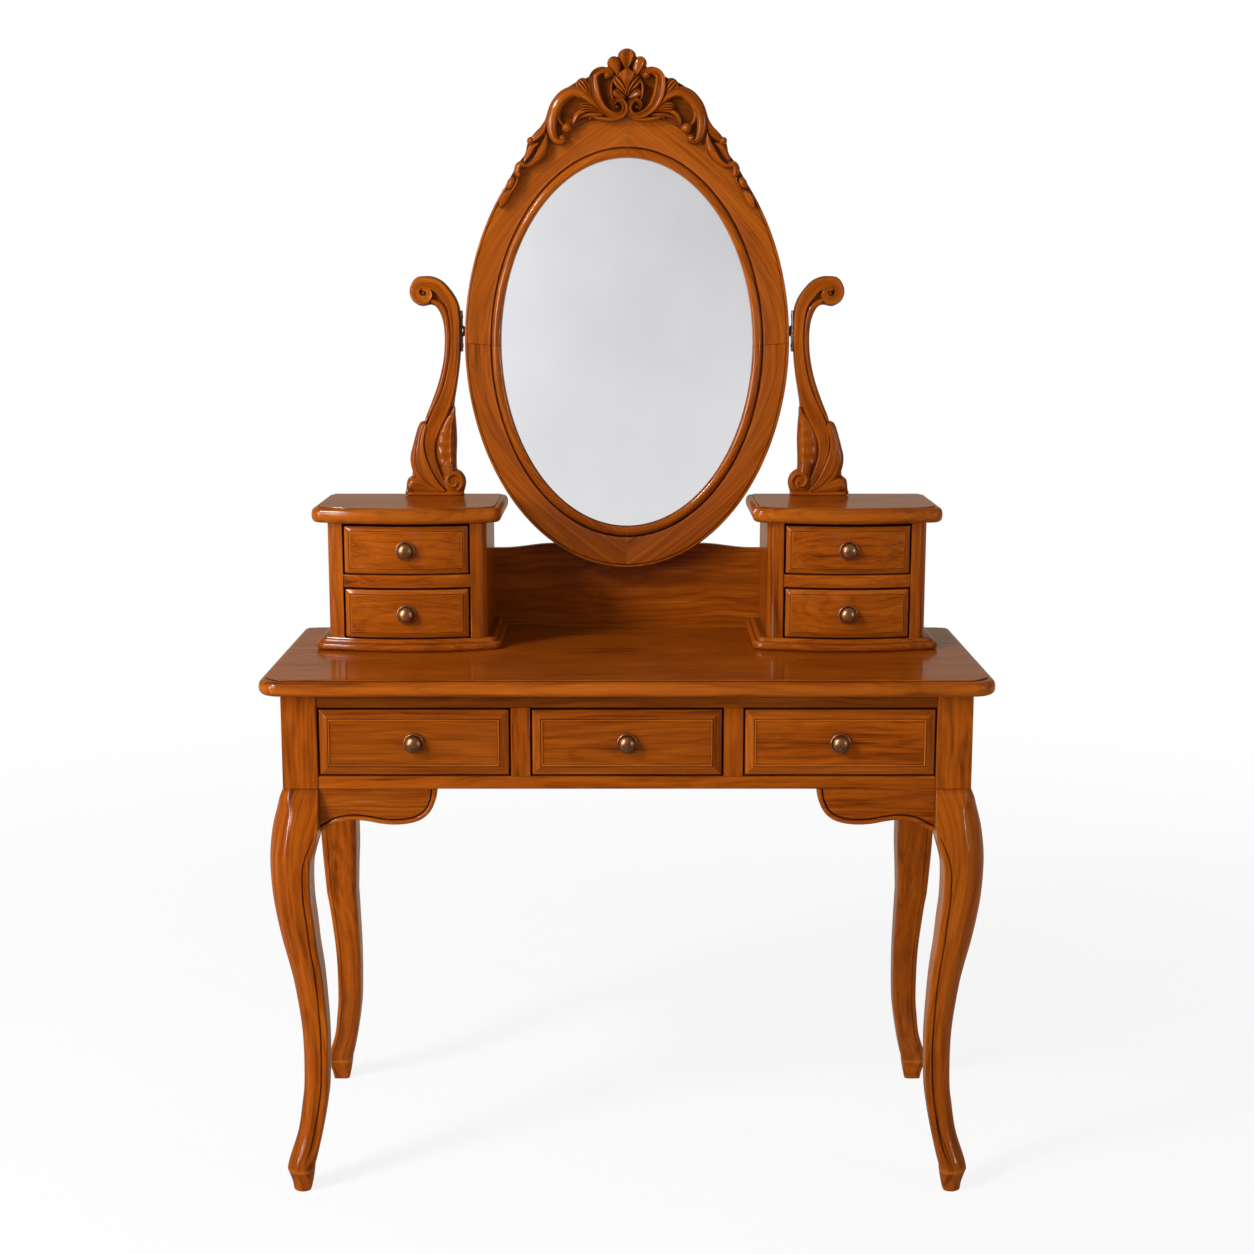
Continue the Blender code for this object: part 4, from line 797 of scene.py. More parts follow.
def edge_profile(low, high, nose_deep, band, step):
    """Profile of a top board's edge: how far in and how high, from below to the raised field.

    The nose is an oval of a power between a circle and a square, then comes a flat band, a fine line
    and a step up to the field with a small round.
    """
    turn = np.linspace(-np.pi / 2, np.pi / 2, 23)
    nose_low, nose_high = low + 0.0002, high - step
    middle, reach = (nose_low + nose_high) / 2, (nose_high - nose_low) / 2
    out, up = np.abs(np.cos(turn)) ** 0.85, np.sign(turn) * np.abs(np.sin(turn)) ** 0.85
    nose = np.column_stack((nose_deep * (1 - out), middle + reach * up))
    below = [(0.030, low), (nose_deep + 0.002, low), (nose_deep + 0.0004, low)]
    above = [
        (band - 0.0006, nose_high), (band, nose_high - 0.0004),
        (band + 0.0004, nose_high), (band + 0.0008, high - 0.0003), (band + 0.0013, high), (band + 0.0030, high),
    ]
    # Darkness: a painted highlight (below zero) along the middle of the nose, painted shade in the fine line at the
    # step's foot, and a painted highlight on the step's edge.
    dark = np.r_[np.zeros(3), -0.30 * np.exp(-(turn / 0.5) ** 2), 0.35, 1.0, 0.8, -0.4, -0.3, 0.0]
    return np.vstack((below, nose, above)), dark


class DRESSING_OT_table_top(bpy.types.Operator):
    """Make the table's top board with its bullnose edge and raised field"""

    bl_idname = "dressing.table_top"
    bl_label = "Table top"

    def execute(self, context):
        trim = context.scene.dressing_trim
        low, high = corners("table_top")
        profile, dark = edge_profile(low[2], high[2], NOSE_DEEP, TABLE_BAND, trim.field_step)
        rows = []
        for k, (inset, z) in enumerate(profile):
            in_field = k > len(profile) - FIELD_RINGS
            side_in = inset - 0.003 * in_field
            front_in = inset + 0.003 * in_field
            ring = plan_ring(
                high[0] - side_in, low[1] + front_in, high[1] - inset,
                0.026 if in_field else max(0.034 - inset, 0.004),
                0.014 if in_field else max(0.014 - inset, 0.003),
                flat=0.35 if in_field else 1.0)
            rows.append(np.column_stack((ring, np.full(len(ring), z))))
        shape = grained(skin(rows, dark[:, None]), "table_top", "TOP")
        piece("table_top_board", [shape], "table_top")
        return {"FINISHED"}


# The side aprons are boards with a ledge along their foot, which carries the drawer board.
APRON_THICK = 0.018
LEDGE_TOP = 0.617
PARTITION_THICK = 0.018


class DRESSING_OT_case(bpy.types.Operator):
    """Make the rails, dividers and aprons round the table drawers"""

    bl_idname = "dressing.case"
    bl_label = "Drawer case"

    def execute(self, context):
        edge = context.scene.dressing_trim.board_edge
        for node in ("upper_rail", "lower_rail", "back_apron"):
            piece(node + "_board", [round_board(*corners(node), edge, "X", node)], node)
        for name, side in SIDES:
            node = name + "_apron"
            low, high = corners(node)
            outer, inner = (low[0], high[0]) if side < 0 else (high[0], low[0])
            shapes = []
            for start, thick, top in ((outer, APRON_THICK, high[2]), (inner, APRON_THICK * 0.9, LEDGE_TOP)):
                x_low, x_high = sorted((start, outer - side * thick))
                shapes.append(round_board((x_low, low[1], low[2]), (x_high, high[1], top), edge, "Y", node))
            piece(node + "_board", shapes, node)
        rail_back = corners("lower_rail")[1][1]
        for name, side in SIDES:
            node = name + "_divider"
            low, high = corners(node)
            middle, half = (low[0] + high[0]) / 2, PARTITION_THICK / 2
            stile = round_board(low, (high[0], rail_back, high[2]), edge * 0.5, "Z", node)
            partition = round_board(
                (middle - half, rail_back - 0.001, low[2]), (middle + half, high[1], high[2]), edge, "Y", node)
            piece(node + "_board", [stile, partition], node)
        return {"FINISHED"}


# Cabriole leg from the foot up: share of the height to the shoulder, then how far out its outer face
# stands, its width and the round of its corners, all as shares of the post.
LEG_SHARES = (
    (0.000, 0.050, 0.550, 0.220), (0.018, 0.085, 0.640, 0.260), (0.040, 0.165, 0.775, 0.270),
    (0.050, 0.205, 0.835, 0.280), (0.056, 0.210, 0.845, 0.280), (0.081, 0.145, 0.860, 0.280),
    (0.142, -0.085, 0.780, 0.260), (0.203, -0.195, 0.800, 0.260), (0.263, -0.265, 0.810, 0.260),
    (0.384, -0.255, 0.855, 0.260), (0.502, -0.100, 0.965, 0.270), (0.561, 0.025, 1.050, 0.280),
    (0.620, 0.170, 1.130, 0.290), (0.678, 0.290, 1.210, 0.300), (0.736, 0.380, 1.245, 0.300),
    (0.795, 0.425, 1.290, 0.300), (0.852, 0.425, 1.340, 0.300), (0.910, 0.345, 1.335, 0.280),
    (0.967, 0.170, 1.160, 0.200), (0.986, 0.090, 1.080, 0.140), (1.000, 0.020, 1.015, 0.060),
)
POST = 0.050
POST_OUT = 0.4805
POST_FACE = {"front": -0.207, "rear": 0.203}
POST_EDGE = 0.0022
SHOULDER = 0.5987
# The rear legs' toes reach this far back, and rake out by the rest.
REAR_TOE = 0.032
LEG_TOE = 0.051
REAR_KNEE = 0.35
# Share of the height at which the groove and the slimmer shank begin, under the shoulder.
SHANK = 0.897

# Fine line down the side of a leg: distance in, and depth of each of its points. The depth also sets the painted shade
# in the line.
LINE_IN = np.array([0.0022, 0.0014, 0.0010, 0.0006, 0.0002])
LINE_DEEP = np.array([0.0, 0.0003, 0.0011, 0.0003, 0.0])


def leg_section(width, outer_round, inner_round, groove, shift, foot):
    """Section of a leg in metres: how far in from its outer face, and how far back from its front.

    A square with round corners, the outer one part circle and part chord. Near the inner front corner
    a groove sinks into the front face, and what is left beyond it is a small bead. Shift is the share
    of the groove's full distance from the corner. Foot is 1 at the foot, where the bead widens into
    the corner's chamfer. It returns the rings' two coordinates and the darkness.
    """
    w, s = width[:, None], shift[:, None]
    arc = np.linspace(0, np.pi / 2, 9)
    ro, ri = (outer_round * width)[:, None], (inner_round * width)[:, None]
    bead = 0.0012 + 0.0020 * s + 0.26 * foot[:, None] * w
    s = s * (1 - 0.8 * foot[:, None])
    face = np.linspace(0, 1, 7)[1:-1]
    notch = np.array([0.0083, 0.0078, 0.0072, 0.0066, 0.0058, 0.0052, 0.0044])
    notch = bead + notch * s + np.linspace(0.0006, 0, 7)
    # The groove's sink also sets painted shade in the groove, darkest at its bottom.
    sink = np.array([0.0, 0.08, 0.65, 1.0, 0.65, 0.10, 0.0])
    strength = (groove / (groove.max() + 1e-9))[:, None]
    face_end = w - notch[:, :1] - 0.0002
    chord = arc / arc[-1]
    parts = (
        (ro * (1 - 0.6 * np.cos(arc) - 0.4 * (1 - chord)), ro * (1 - 0.6 * np.sin(arc) - 0.4 * chord), 0 * arc),
        (ro + (face_end - ro) * face, 0 * face * w, 0 * face),
        (w - notch, groove[:, None] * sink, strength * sink * 0.9),
        (w - bead + bead * np.sin(arc), bead * (1 - np.cos(arc)), 0 * arc),
        (w + 0 * face, bead + (w - ri - bead) * face, 0 * face),
        (w - ri + ri * np.cos(arc), w - ri + ri * np.sin(arc), 0 * arc),
        (w - ri + (ro + 0.0030 - w + ri) * face, w + 0 * face, 0 * face),
        (ro + LINE_IN, w - LINE_DEEP, LINE_DEEP / LINE_DEEP.max()),
        (ro - ro * np.sin(arc), w - ro + ro * np.cos(arc), 0 * arc),
        (0 * face * w, w - ro + (2 * ro - w) * face, 0 * face),
    )
    inwards, backwards, shade = zip(*parts)
    return np.hstack(inwards), np.hstack(backwards), np.hstack([part + 0 * w for part in shade])


class DRESSING_OT_legs(bpy.types.Operator):
    """Make the four cabriole legs with their posts"""

    bl_idname = "dressing.legs"
    bl_label = "Legs"

    def execute(self, context):
        depth = context.scene.dressing_trim.leg_groove
        for row, toward in (("front", -1), ("rear", 1)):
            for name, side in SIDES:
                node = f"{row}_{name}_leg"
                shank = self.shank(node, row, toward, side, depth)
                piece(node + "_carved", [shank, self.post(node, row, toward, side)], node)
        return {"FINISHED"}

    def shank(self, node, row, toward, side, depth):
        """Shaped part of a leg: the section, moved out and scaled by the table of shares.

        A rear leg also leans back, by the cube of the share of the way down, and its knee is flatter.
        """
        low, high = corners(node)
        front = 1 if row == "front" else 0
        shares = smooth_line(LEG_SHARES, 130)
        level, out, wide = shares[:, 0], shares[:, 1].copy(), shares[:, 2]
        if not front:
            out = np.where((out > 0) & (level > 0.5), out * REAR_KNEE, out)
        rake = 0.0 if front else REAR_TOE - 0.21 * POST
        lean = rake * np.minimum(1, (1 - level) / (1 - LEG_TOE)) ** 3
        width = wide * (1 - 0.095 * eased(level, SHANK, SHANK - 0.085)) * POST
        reach = out * POST
        below = np.clip((SHANK - level) / 0.11, 0, 1)
        groove = depth * front * np.clip((level - 0.062) / 0.03, 0, 1) * np.clip(below * 9, 0, 1)
        foot = eased(level, 0.115, 0.055)
        turn = (0.46 - 0.22 * eased(level, 0.94, 1.0)) * (1 if front else 0.36)
        shift = np.sqrt(1 - (1 - below) ** 2)
        a, b, dark = leg_section(width, turn, np.full(len(width), 0.22), groove, shift, foot)
        x = side * (POST_OUT + reach[:, None] - a)
        y = np.clip(POST_FACE[row] + toward * (reach + lean)[:, None] - toward * b, low[1], high[1])
        z = np.broadcast_to((level * SHOULDER)[:, None], x.shape)
        # Painted shade just under the shoulder, and a painted highlight round the widest rim of the foot.
        ledge = 0.25 * np.clip((level - 0.990) / 0.008, 0, 1)
        rim = -0.5 * np.exp(-((level - 0.053) / 0.004) ** 2)
        shape = skin(np.stack((x, y, z), axis=2), dark + (ledge + rim)[:, None])
        grain = np.stack((z, a, b), axis=2)
        ends = (grain[0].mean(0), grain[-1].mean(0))
        shape["grain"] = np.vstack((grain.reshape(-1, 3), *ends)) + rest_of(node)
        return shape

    def post(self, node, row, toward, side):
        """Square post above the shoulder."""
        x_low, x_high = sorted((side * POST_OUT, side * (POST_OUT - POST)))
        y_low, y_high = sorted((POST_FACE[row], POST_FACE[row] - toward * POST))
        top = corners(node)[1][2]
        return round_board((x_low, y_low, SHOULDER - 0.0004), (x_high, y_high, top), POST_EDGE, "Z", node)


# Lower edge of a bracket from the leg inwards: share of its length, share of its drop.
BRACKET_SHARES = (
    (0.00, 1.00), (0.07, 0.90), (0.17, 0.77), (0.29, 0.725), (0.41, 0.755), (0.53, 0.815),
    (0.64, 0.835),
    (0.75, 0.81), (0.85, 0.73), (0.93, 0.56), (0.98, 0.30), (1.00, 0.00),
)


class DRESSING_OT_brackets(bpy.types.Operator):
    """Make the two shaped brackets with the bead along their lower edge"""

    bl_idname = "dressing.brackets"
    bl_label = "Brackets"

    def execute(self, context):
        width = context.scene.dressing_trim.bracket_bead
        for name, side in SIDES:
            node = name + "_bracket"
            low, high = corners(node)
            length, drop, top = high[0] - low[0], high[2] - low[2], high[2]
            inner = max(abs(low[0]), abs(high[0]))
            shares = even_line(np.array(BRACKET_SHARES) * (length, drop), 110)
            line = np.column_stack((shares[:, 0], -shares[:, 1]))
            across = side_of(line)
            across *= np.sign(across[len(across) // 2, 1])
            bead = np.linspace(0, np.pi, 9)
            away = np.r_[width * (1 - np.cos(bead)) / 2, width + np.array([0.0003, 0.0008, 0.0014, 0.0018, 0.0030])]
            proud = np.r_[0.0024 * np.sin(bead) - 0.0004, -0.0014, -0.0018, -0.0014, -0.0002, 0.0]
            # Darkness across the bead: painted highlight (below zero) on its crown, and painted shade in the groove
            # behind it.
            dark = np.r_[0.1, -0.05, -0.15, -0.2, -0.2, -0.15, 0, 0.2, 0.6, 0.9, 1.0, 0.7, 0.15, 0.0]
            face_y, back_y = low[1] + 0.0018, high[1]
            u = line[:, :1] + across[:, :1] * away
            z = line[:, 1:] + across[:, 1:] * away
            u = np.clip(u, 0, length)
            z = np.minimum(z, -0.00005 * (len(away) - np.arange(len(away))))
            z = np.hstack((z, np.zeros((len(u), 1))))
            u = np.hstack((u, u[:, -1:]))
            y = np.broadcast_to(np.r_[face_y - proud, face_y], u.shape)
            dark = np.r_[dark, 0.0]
            u = np.hstack((u, u[:, ::-1]))
            z = np.hstack((z, z[:, ::-1]))
            y = np.hstack((y, np.full_like(y, back_y)))
            shade = np.r_[dark, 0 * dark]
            rows = np.stack((side * (inner - u), y, top + z), axis=2)
            shape = grained(skin(rows, shade[None, :], flat_caps=True), node, "X")
            piece(node + "_carved", [shape], node)
        return {"FINISHED"}


FRONT_COLUMNS = 26
CORNER_POINTS = 4


def front_rings(half, low_z, high_z, steps, corner):
    """Rectangle seen from the front, drawn in by each step, with columns along it for a bow."""
    rows = []
    turn = np.linspace(0, np.pi / 2, CORNER_POINTS)
    for inset, r in zip(steps, corner):
        a, low, high = half - inset, low_z + inset, high_z - inset
        x = np.linspace(-a + r, a - r, FRONT_COLUMNS)[1:-1]
        parts = [np.column_stack((x, np.full(len(x), low)))]
        for sx, sz, start in ((1, -1, 270), (1, 1, 0), (-1, 1, 90), (-1, -1, 180)):
            angle = np.radians(start) + turn
            centre = (sx * (a - r), (low if sz < 0 else high) - sz * r)
            parts.append(np.column_stack((centre[0] + r * np.cos(angle), centre[1] + r * np.sin(angle))))
            if (sx, sz) == (1, 1):
                parts.append(np.column_stack((x[::-1], np.full(len(x), high))))
        rows.append(np.vstack(parts))
    return np.array(rows)


DRAWER_GAP = 0.0011


def fielded_front(node, bevel, rise, bow, name, plain):
    """Drawer front: low rim, mitred hollow bevel, a line with painted shade, bead and slightly sunk field.

    Each ring is the outline drawn in by one step and raised by the profile, so the mitres meet. The
    bow adds its own value of X to the depth of every point in front.
    """
    low, high = corners(node)
    low, high = low + (DRAWER_GAP, 0, DRAWER_GAP), high - (DRAWER_GAP, 0, DRAWER_GAP)
    middle, half = (low[0] + high[0]) / 2, (high[0] - low[0]) / 2
    front, back = low[1] + rise, high[1]
    # Back edge, rim and bevel as shares of the bevel, then the line, bead and field in metres.
    share = np.array([0.0, 0.0, 0.035, 0.085, 0.18, 0.29, 0.45, 0.62, 0.80, 0.93, 1.0])
    past = np.array([4, 9, 14, 20, 26, 31, 36, 42, 60]) * 0.0001
    steps = np.r_[0.0020, bevel * share, bevel + past]
    climb = np.array([0, 0, 0, 0.015, 0.09, 0.20, 0.31, 0.45, 0.62, 0.80, 0.91])
    sunk = np.array([5, 12, 5, 1, 0, 1, 6, 13, 12, 12]) * 0.0001
    up = np.r_[rise * climb, rise - sunk]
    # Darkness of each ring: painted shade on the sides in the gap round the front, in the line and along the field's
    # edge, and paler bevel and bead (below zero), which are worn wood and painted highlight.
    dark = np.array([
        0.3, 0.3, 0.5, 0.6, -0.2, -0.3, -0.1, -0.1, -0.1, -0.1, -0.2, 0.2, 0.9, 0.3, -0.3, -0.6, -0.5, -0.1,
        0.25, 0.1, 0.0])
    if plain:
        # Small fronts have a single line of painted shade with a painted highlight on its edge.
        up[-8:] = rise - np.array([0.0004, 0.0001, 0, 0, 0, 0, 0, 0])
        dark[-8:] = (0.2, -0.3, -0.2, 0, 0, 0, 0, 0)
    # Four more rings run to the middle of the field, so that a bowed field stays smooth.
    deep = (high[2] - low[2]) / 2 - 0.0010
    steps = np.r_[steps, steps[-1] + (deep - steps[-1]) * np.array([0.3, 0.6, 0.85, 1.0])]
    up, dark = np.r_[up, np.full(4, up[-1])], np.r_[dark, np.zeros(4)]
    corner = np.interp(
        steps, (0.0, 0.001, bevel * 0.5, bevel, bevel + 0.003), (0.0008, 0.0010, 0.0024, 0.0018, 0.0008))
    rings = front_rings(half, low[2], high[2], steps, corner)
    x, z = rings[:, :, 0], rings[:, :, 1]
    y = (front - up)[:, None] + bow(x)
    y[0], y[1] = back, back - 0.0008
    shape = grained(skin(np.stack((middle + x, y, z), axis=2), dark[:, None], flat_caps=True), name, "X")
    # The last ring is closed column by column, from its lower line to its upper one.
    wide = FRONT_COLUMNS - 2
    right, left = wide + 2 * CORNER_POINTS, 2 * (wide + CORNER_POINTS)
    pairs = [(k, k + 1, left - 2 - k, left - 1 - k) for k in range(wide - 1)]
    pairs += [tuple(range(wide - 1, right + 1)), (*range(left - 1, x.shape[1]), 0)]
    cap = shape["faces"].pop()
    first, order = min(cap), 1 if cap[1] > cap[0] else -1
    shape["faces"] += [[first + k for k in pair][::order] for pair in pairs]
    # The upright strips of the mitred edge have upright grain.
    strips = np.r_[wide + 2:right - 2, left + 2:x.shape[1] - 2]
    upright = (np.arange(3, 18)[:, None] * x.shape[1] + strips).ravel()
    shape["grain"][upright] = shape["grain"][upright][:, (1, 0, 2)] + (0.37, 0.0, 0.0)
    return shape


def knob_shape(centre):
    """Turned knob: plate with a round rim, narrow dark groove and a wide dome on a short neck."""
    turn = np.linspace(0, np.pi, 9)
    rim = [(0.0128 + 0.0016 * np.cos(t), 0.0030 + 0.0022 * np.sin(t)) for t in turn]
    dome_turn = np.linspace(-0.60, np.pi / 2, 16)
    dome = [(0.0111 * np.cos(t), 0.0082 + 0.0076 * np.sin(t)) for t in dome_turn]
    profile = [(0.0005, 0.0), (0.0136, 0.0), (0.0144, 0.0006)] + rim
    profile += [(0.0110, 0.0022), (0.0104, 0.0020), (0.0096, 0.0024), (0.0089, 0.0032)]
    profile += dome[:-1] + [(0.0004, 0.0158)]
    dark = np.r_[np.zeros(10), 0.2, 0.6, 1.0, 1.0, 1.0, 0.7, 0.2, 0.1, np.zeros(14)]
    return turned_shape(profile, centre, dark[:, None])


CABINET_BOW = 0.028
CABINET_X = 0.325
CABINET_HALF = 0.140
BODY_HALF = 0.1175
OPENING_HALF = 0.0935
COLUMN_ROUND = 0.0165
# The rail's front strip ends this far behind its front, and the shelf goes on from there.
RAIL_DEPTH = 0.0325


def bow_of(x):
    """How far a cabinet's front falls back at a distance from its middle: the square of its share."""
    return CABINET_BOW * (x / CABINET_HALF) ** 2


class DRESSING_OT_drawers(bpy.types.Operator):
    """Make the seven drawer fronts and their knobs"""

    bl_idname = "dressing.drawers"
    bl_label = "Drawer fronts and knobs"

    def execute(self, context):
        for name in ("left", "middle", "right"):
            body = name + "_drawer"
            front = fielded_front(body + "_front", 0.0120, 0.0068, lambda x: 0 * x, body, False)
            piece(body + "_front_board", [front], body + "_front", body)
        for name, _ in SIDES:
            for level in ("lower", "upper"):
                body = f"{name}_{level}_drawer"
                front = fielded_front(body + "_front", 0.0066, 0.0035, bow_of, body, True)
                piece(body + "_front_board", [front], body + "_front", body)
        for node in [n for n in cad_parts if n.endswith("_knob")]:
            low, high = corners(node)
            centre = ((low[0] + high[0]) / 2, high[1], (low[2] + high[2]) / 2)
            body = node[:-len("_knob")]
            piece(node + "_turned", [knob_shape(centre)], node, body, "antique_bronze")
        return {"FINISHED"}


class DRESSING_OT_cabinets(bpy.types.Operator):
    """Make the two small bowed cabinets: tops, bases, sides with columns and rails"""

    bl_idname = "dressing.cabinets"
    bl_label = "Cabinets"

    def execute(self, context):
        for name, side in SIDES:
            self.boards(name, side, context.scene.dressing_trim)
            self.sides(name, side)
            self.rail(name)
        return {"FINISHED"}

    def boards(self, name, side, trim):
        """Top with a raised field, and base with a stepped ogee, as outlines drawn in by a profile."""
        centre = np.array([side * CABINET_X, 0.0])
        node = name + "_cabinet_top"
        low, high = corners(node)
        half = (high[0] - low[0]) / 2
        profile, dark = edge_profile(low[2], high[2], NOSE_DEEP, CABINET_BAND, trim.field_step)
        rows = []
        for k, (inset, z) in enumerate(profile):
            in_field = k > len(profile) - FIELD_RINGS
            ring = plan_ring(
                half - inset, low[1] + inset, high[1] - 0.3 * inset,
                0.019 if in_field else max(0.020 - inset, 0.003),
                0.002, flat=0.3 if in_field else 1.0, bow=bow_of)
            rows.append(np.column_stack((ring + centre, np.full(len(ring), z))))
        shape = grained(skin(rows, dark[:, None]), node, "TOP")
        piece(node + "_board", [shape], node)

        node = name + "_cabinet_base"
        low, high = corners(node)
        half = (high[0] - low[0]) / 2
        turn = np.linspace(-np.pi / 2, np.pi / 2, 11)
        cove = np.linspace(0, np.pi / 2, 7)
        inset = np.r_[
            0.030, 0.0052 * (1 - np.cos(turn)), 0.0064, 0.0068, 0.0072 + 0.0042 * (1 - np.cos(cove)), 0.0120, 0.020]
        z = low[2] + np.r_[
            0, 0.0058 * (1 + np.sin(turn)), 0.0114, 0.0118, 0.0120 + 0.0046 * np.sin(cove), 0.0170, 0.0170]
        z[-2:] = high[2]
        # Darkness: painted shade in the step's crease above the nose and on the top where the body stands on it, and a
        # painted highlight (below zero) on the ledge's edge.
        dark = np.r_[0, np.zeros(11), 0.7, 0.8, 0.2, np.zeros(5), -0.3, 0.4, 0.5]
        rows = []
        for d, height in zip(inset, z):
            ring = plan_ring(half - d, low[1] + d, high[1] - 0.2 * d, max(0.020 - d, 0.003), 0.002, bow=bow_of)
            rows.append(np.column_stack((ring + centre, np.full(len(ring), height))))
        shape = grained(skin(rows, dark[:, None]), node, "TOP")
        piece(node + "_board", [shape], node)

    def sides(self, name, side):
        """Side boards, each with a rounded front column between two quirk lines.

        The plan runs along the board, round the column on a circle, over the quirks and back.
        """
        for label, way in (("outer", side), ("inner", -side)):
            node = f"{name}_cabinet_{label}_side"
            low, high = corners(node)
            half, back = BODY_HALF, high[1]
            front = corners(name + "_cabinet_shelf")[0][1]
            inner, opening = half - 0.016, OPENING_HALF
            open_y = front + bow_of(opening)
            straight = half - COLUMN_ROUND
            corner_y = front + bow_of(straight) + COLUMN_ROUND
            turn = np.linspace(0, np.pi / 2, 15)
            arc_u = straight + COLUMN_ROUND * np.sin(turn)
            arc_y = corner_y - COLUMN_ROUND * np.cos(turn)
            plan = [(inner, back), (inner, open_y + 0.026), (opening, open_y + 0.026), (opening, open_y + 0.0012),
                    (opening + 0.0004, open_y + 0.0004), (opening + 0.0012, open_y + 0.0001)]
            plan += list(zip(arc_u, arc_y))
            plan += [(half, corner_y + 0.0010), (half - 0.0012, corner_y + 0.0016), (half - 0.0012, corner_y + 0.0022),
                     (half, corner_y + 0.0030), (half, back)]
            # Darkness: painted shade inside the drawer opening and in the quirk behind the column, and a slight
            # painted highlight (below zero) on the column's edge by the opening.
            dark = np.r_[0, 0, 0.8, 0.6, 0.1, -0.1, np.zeros(15), 0.2, 1.0, 1.0, 0.2, 0]
            plan = np.array(plan)
            heights = np.array([low[2], low[2] + 0.0003, high[2] - 0.0003, high[2]])
            rows = []
            u = side * CABINET_X + way * plan[:, 0]
            for z in heights:
                rows.append(np.column_stack((u, plan[:, 1], np.full(len(plan), z))))
            shape = grained(skin(rows, dark[None, :], flat_caps=True), node, "Z")
            piece(node + "_board", [shape], node)

    def rail(self, name):
        """Rail between the small drawers, with a bowed and slightly rounded face, and its shelf."""
        node = name + "_cabinet_shelf"
        low, high = corners(node)
        middle, half = (low[0] + high[0]) / 2, (high[0] - low[0]) / 2
        x = np.linspace(-half, half, 41)
        front = low[1] + bow_of(x)[:, None]
        inset, z = small_round(low[2], high[2], 0.0016, 5)
        y = np.hstack((front + inset, np.full((len(x), 2), low[1] + RAIL_DEPTH)))
        z = np.broadcast_to(np.r_[z, high[2], low[2]], y.shape)
        rows = np.stack((np.broadcast_to((middle + x)[:, None], y.shape), y, z), axis=2)
        rail = grained(skin(rows, flat_caps=True), node, "X")
        board = round_board((low[0], low[1] + RAIL_DEPTH - 0.0005, high[2] - 0.008), high, 0.0006, "X", node)
        piece(node + "_board", [rail, board], node)


# Splash panel: level of its ends, how much its wings rise, and the gap round the mirror's frame.
WING_END = 0.884
WING_RISE = 0.007
SCOOP_GAP = 0.0024


class DRESSING_OT_splash_panel(bpy.types.Operator):
    """Make the panel behind the top, with its wings and the scoop under the mirror"""

    bl_idname = "dressing.splash_panel"
    bl_label = "Splash panel"

    def execute(self, context):
        low, high = corners("splash_panel")
        half = high[0]
        x = np.linspace(-half, half, 161)
        wing = WING_END + WING_RISE * eased(np.abs(x) / half, 0.88, 0.52)
        wide, tall = corners("mirror_frame")[1][0] + SCOOP_GAP, OUTER_OVAL[1] + SCOOP_GAP
        scoop = OUTER_OVAL[2] - tall * np.sqrt(np.maximum(0, 1 - (x / wide) ** 2))
        top = np.minimum(wing, scoop)[:, None]
        down, y = small_round(low[1], high[1], 0.0022, 6)
        foot = np.full((len(x), 1), low[2])
        z = np.hstack((foot, top - down, foot))
        y = np.broadcast_to(np.r_[low[1], y, high[1]], z.shape)
        rows = np.stack((np.broadcast_to(x[:, None], y.shape), y, z), axis=2)
        shape = grained(skin(rows, flat_caps=True), "splash_panel", "X")
        piece("splash_panel_board", [shape], "splash_panel")
        return {"FINISHED"}


def frame_grain(points, name):
    """Book-matched veneer: fibres upright at the sides and leaning towards the middle at both ends.

    A line of fibres is where the distance from the middle plus 2.23 times the square of the height
    over the centre stays the same.
    """
    x, y, z = points.T
    lift = z - 1.2
    return np.column_stack((lift * (1 + 0.3 * np.abs(x)), np.abs(x) + 2.23 * lift ** 2, y)) + rest_of(name)


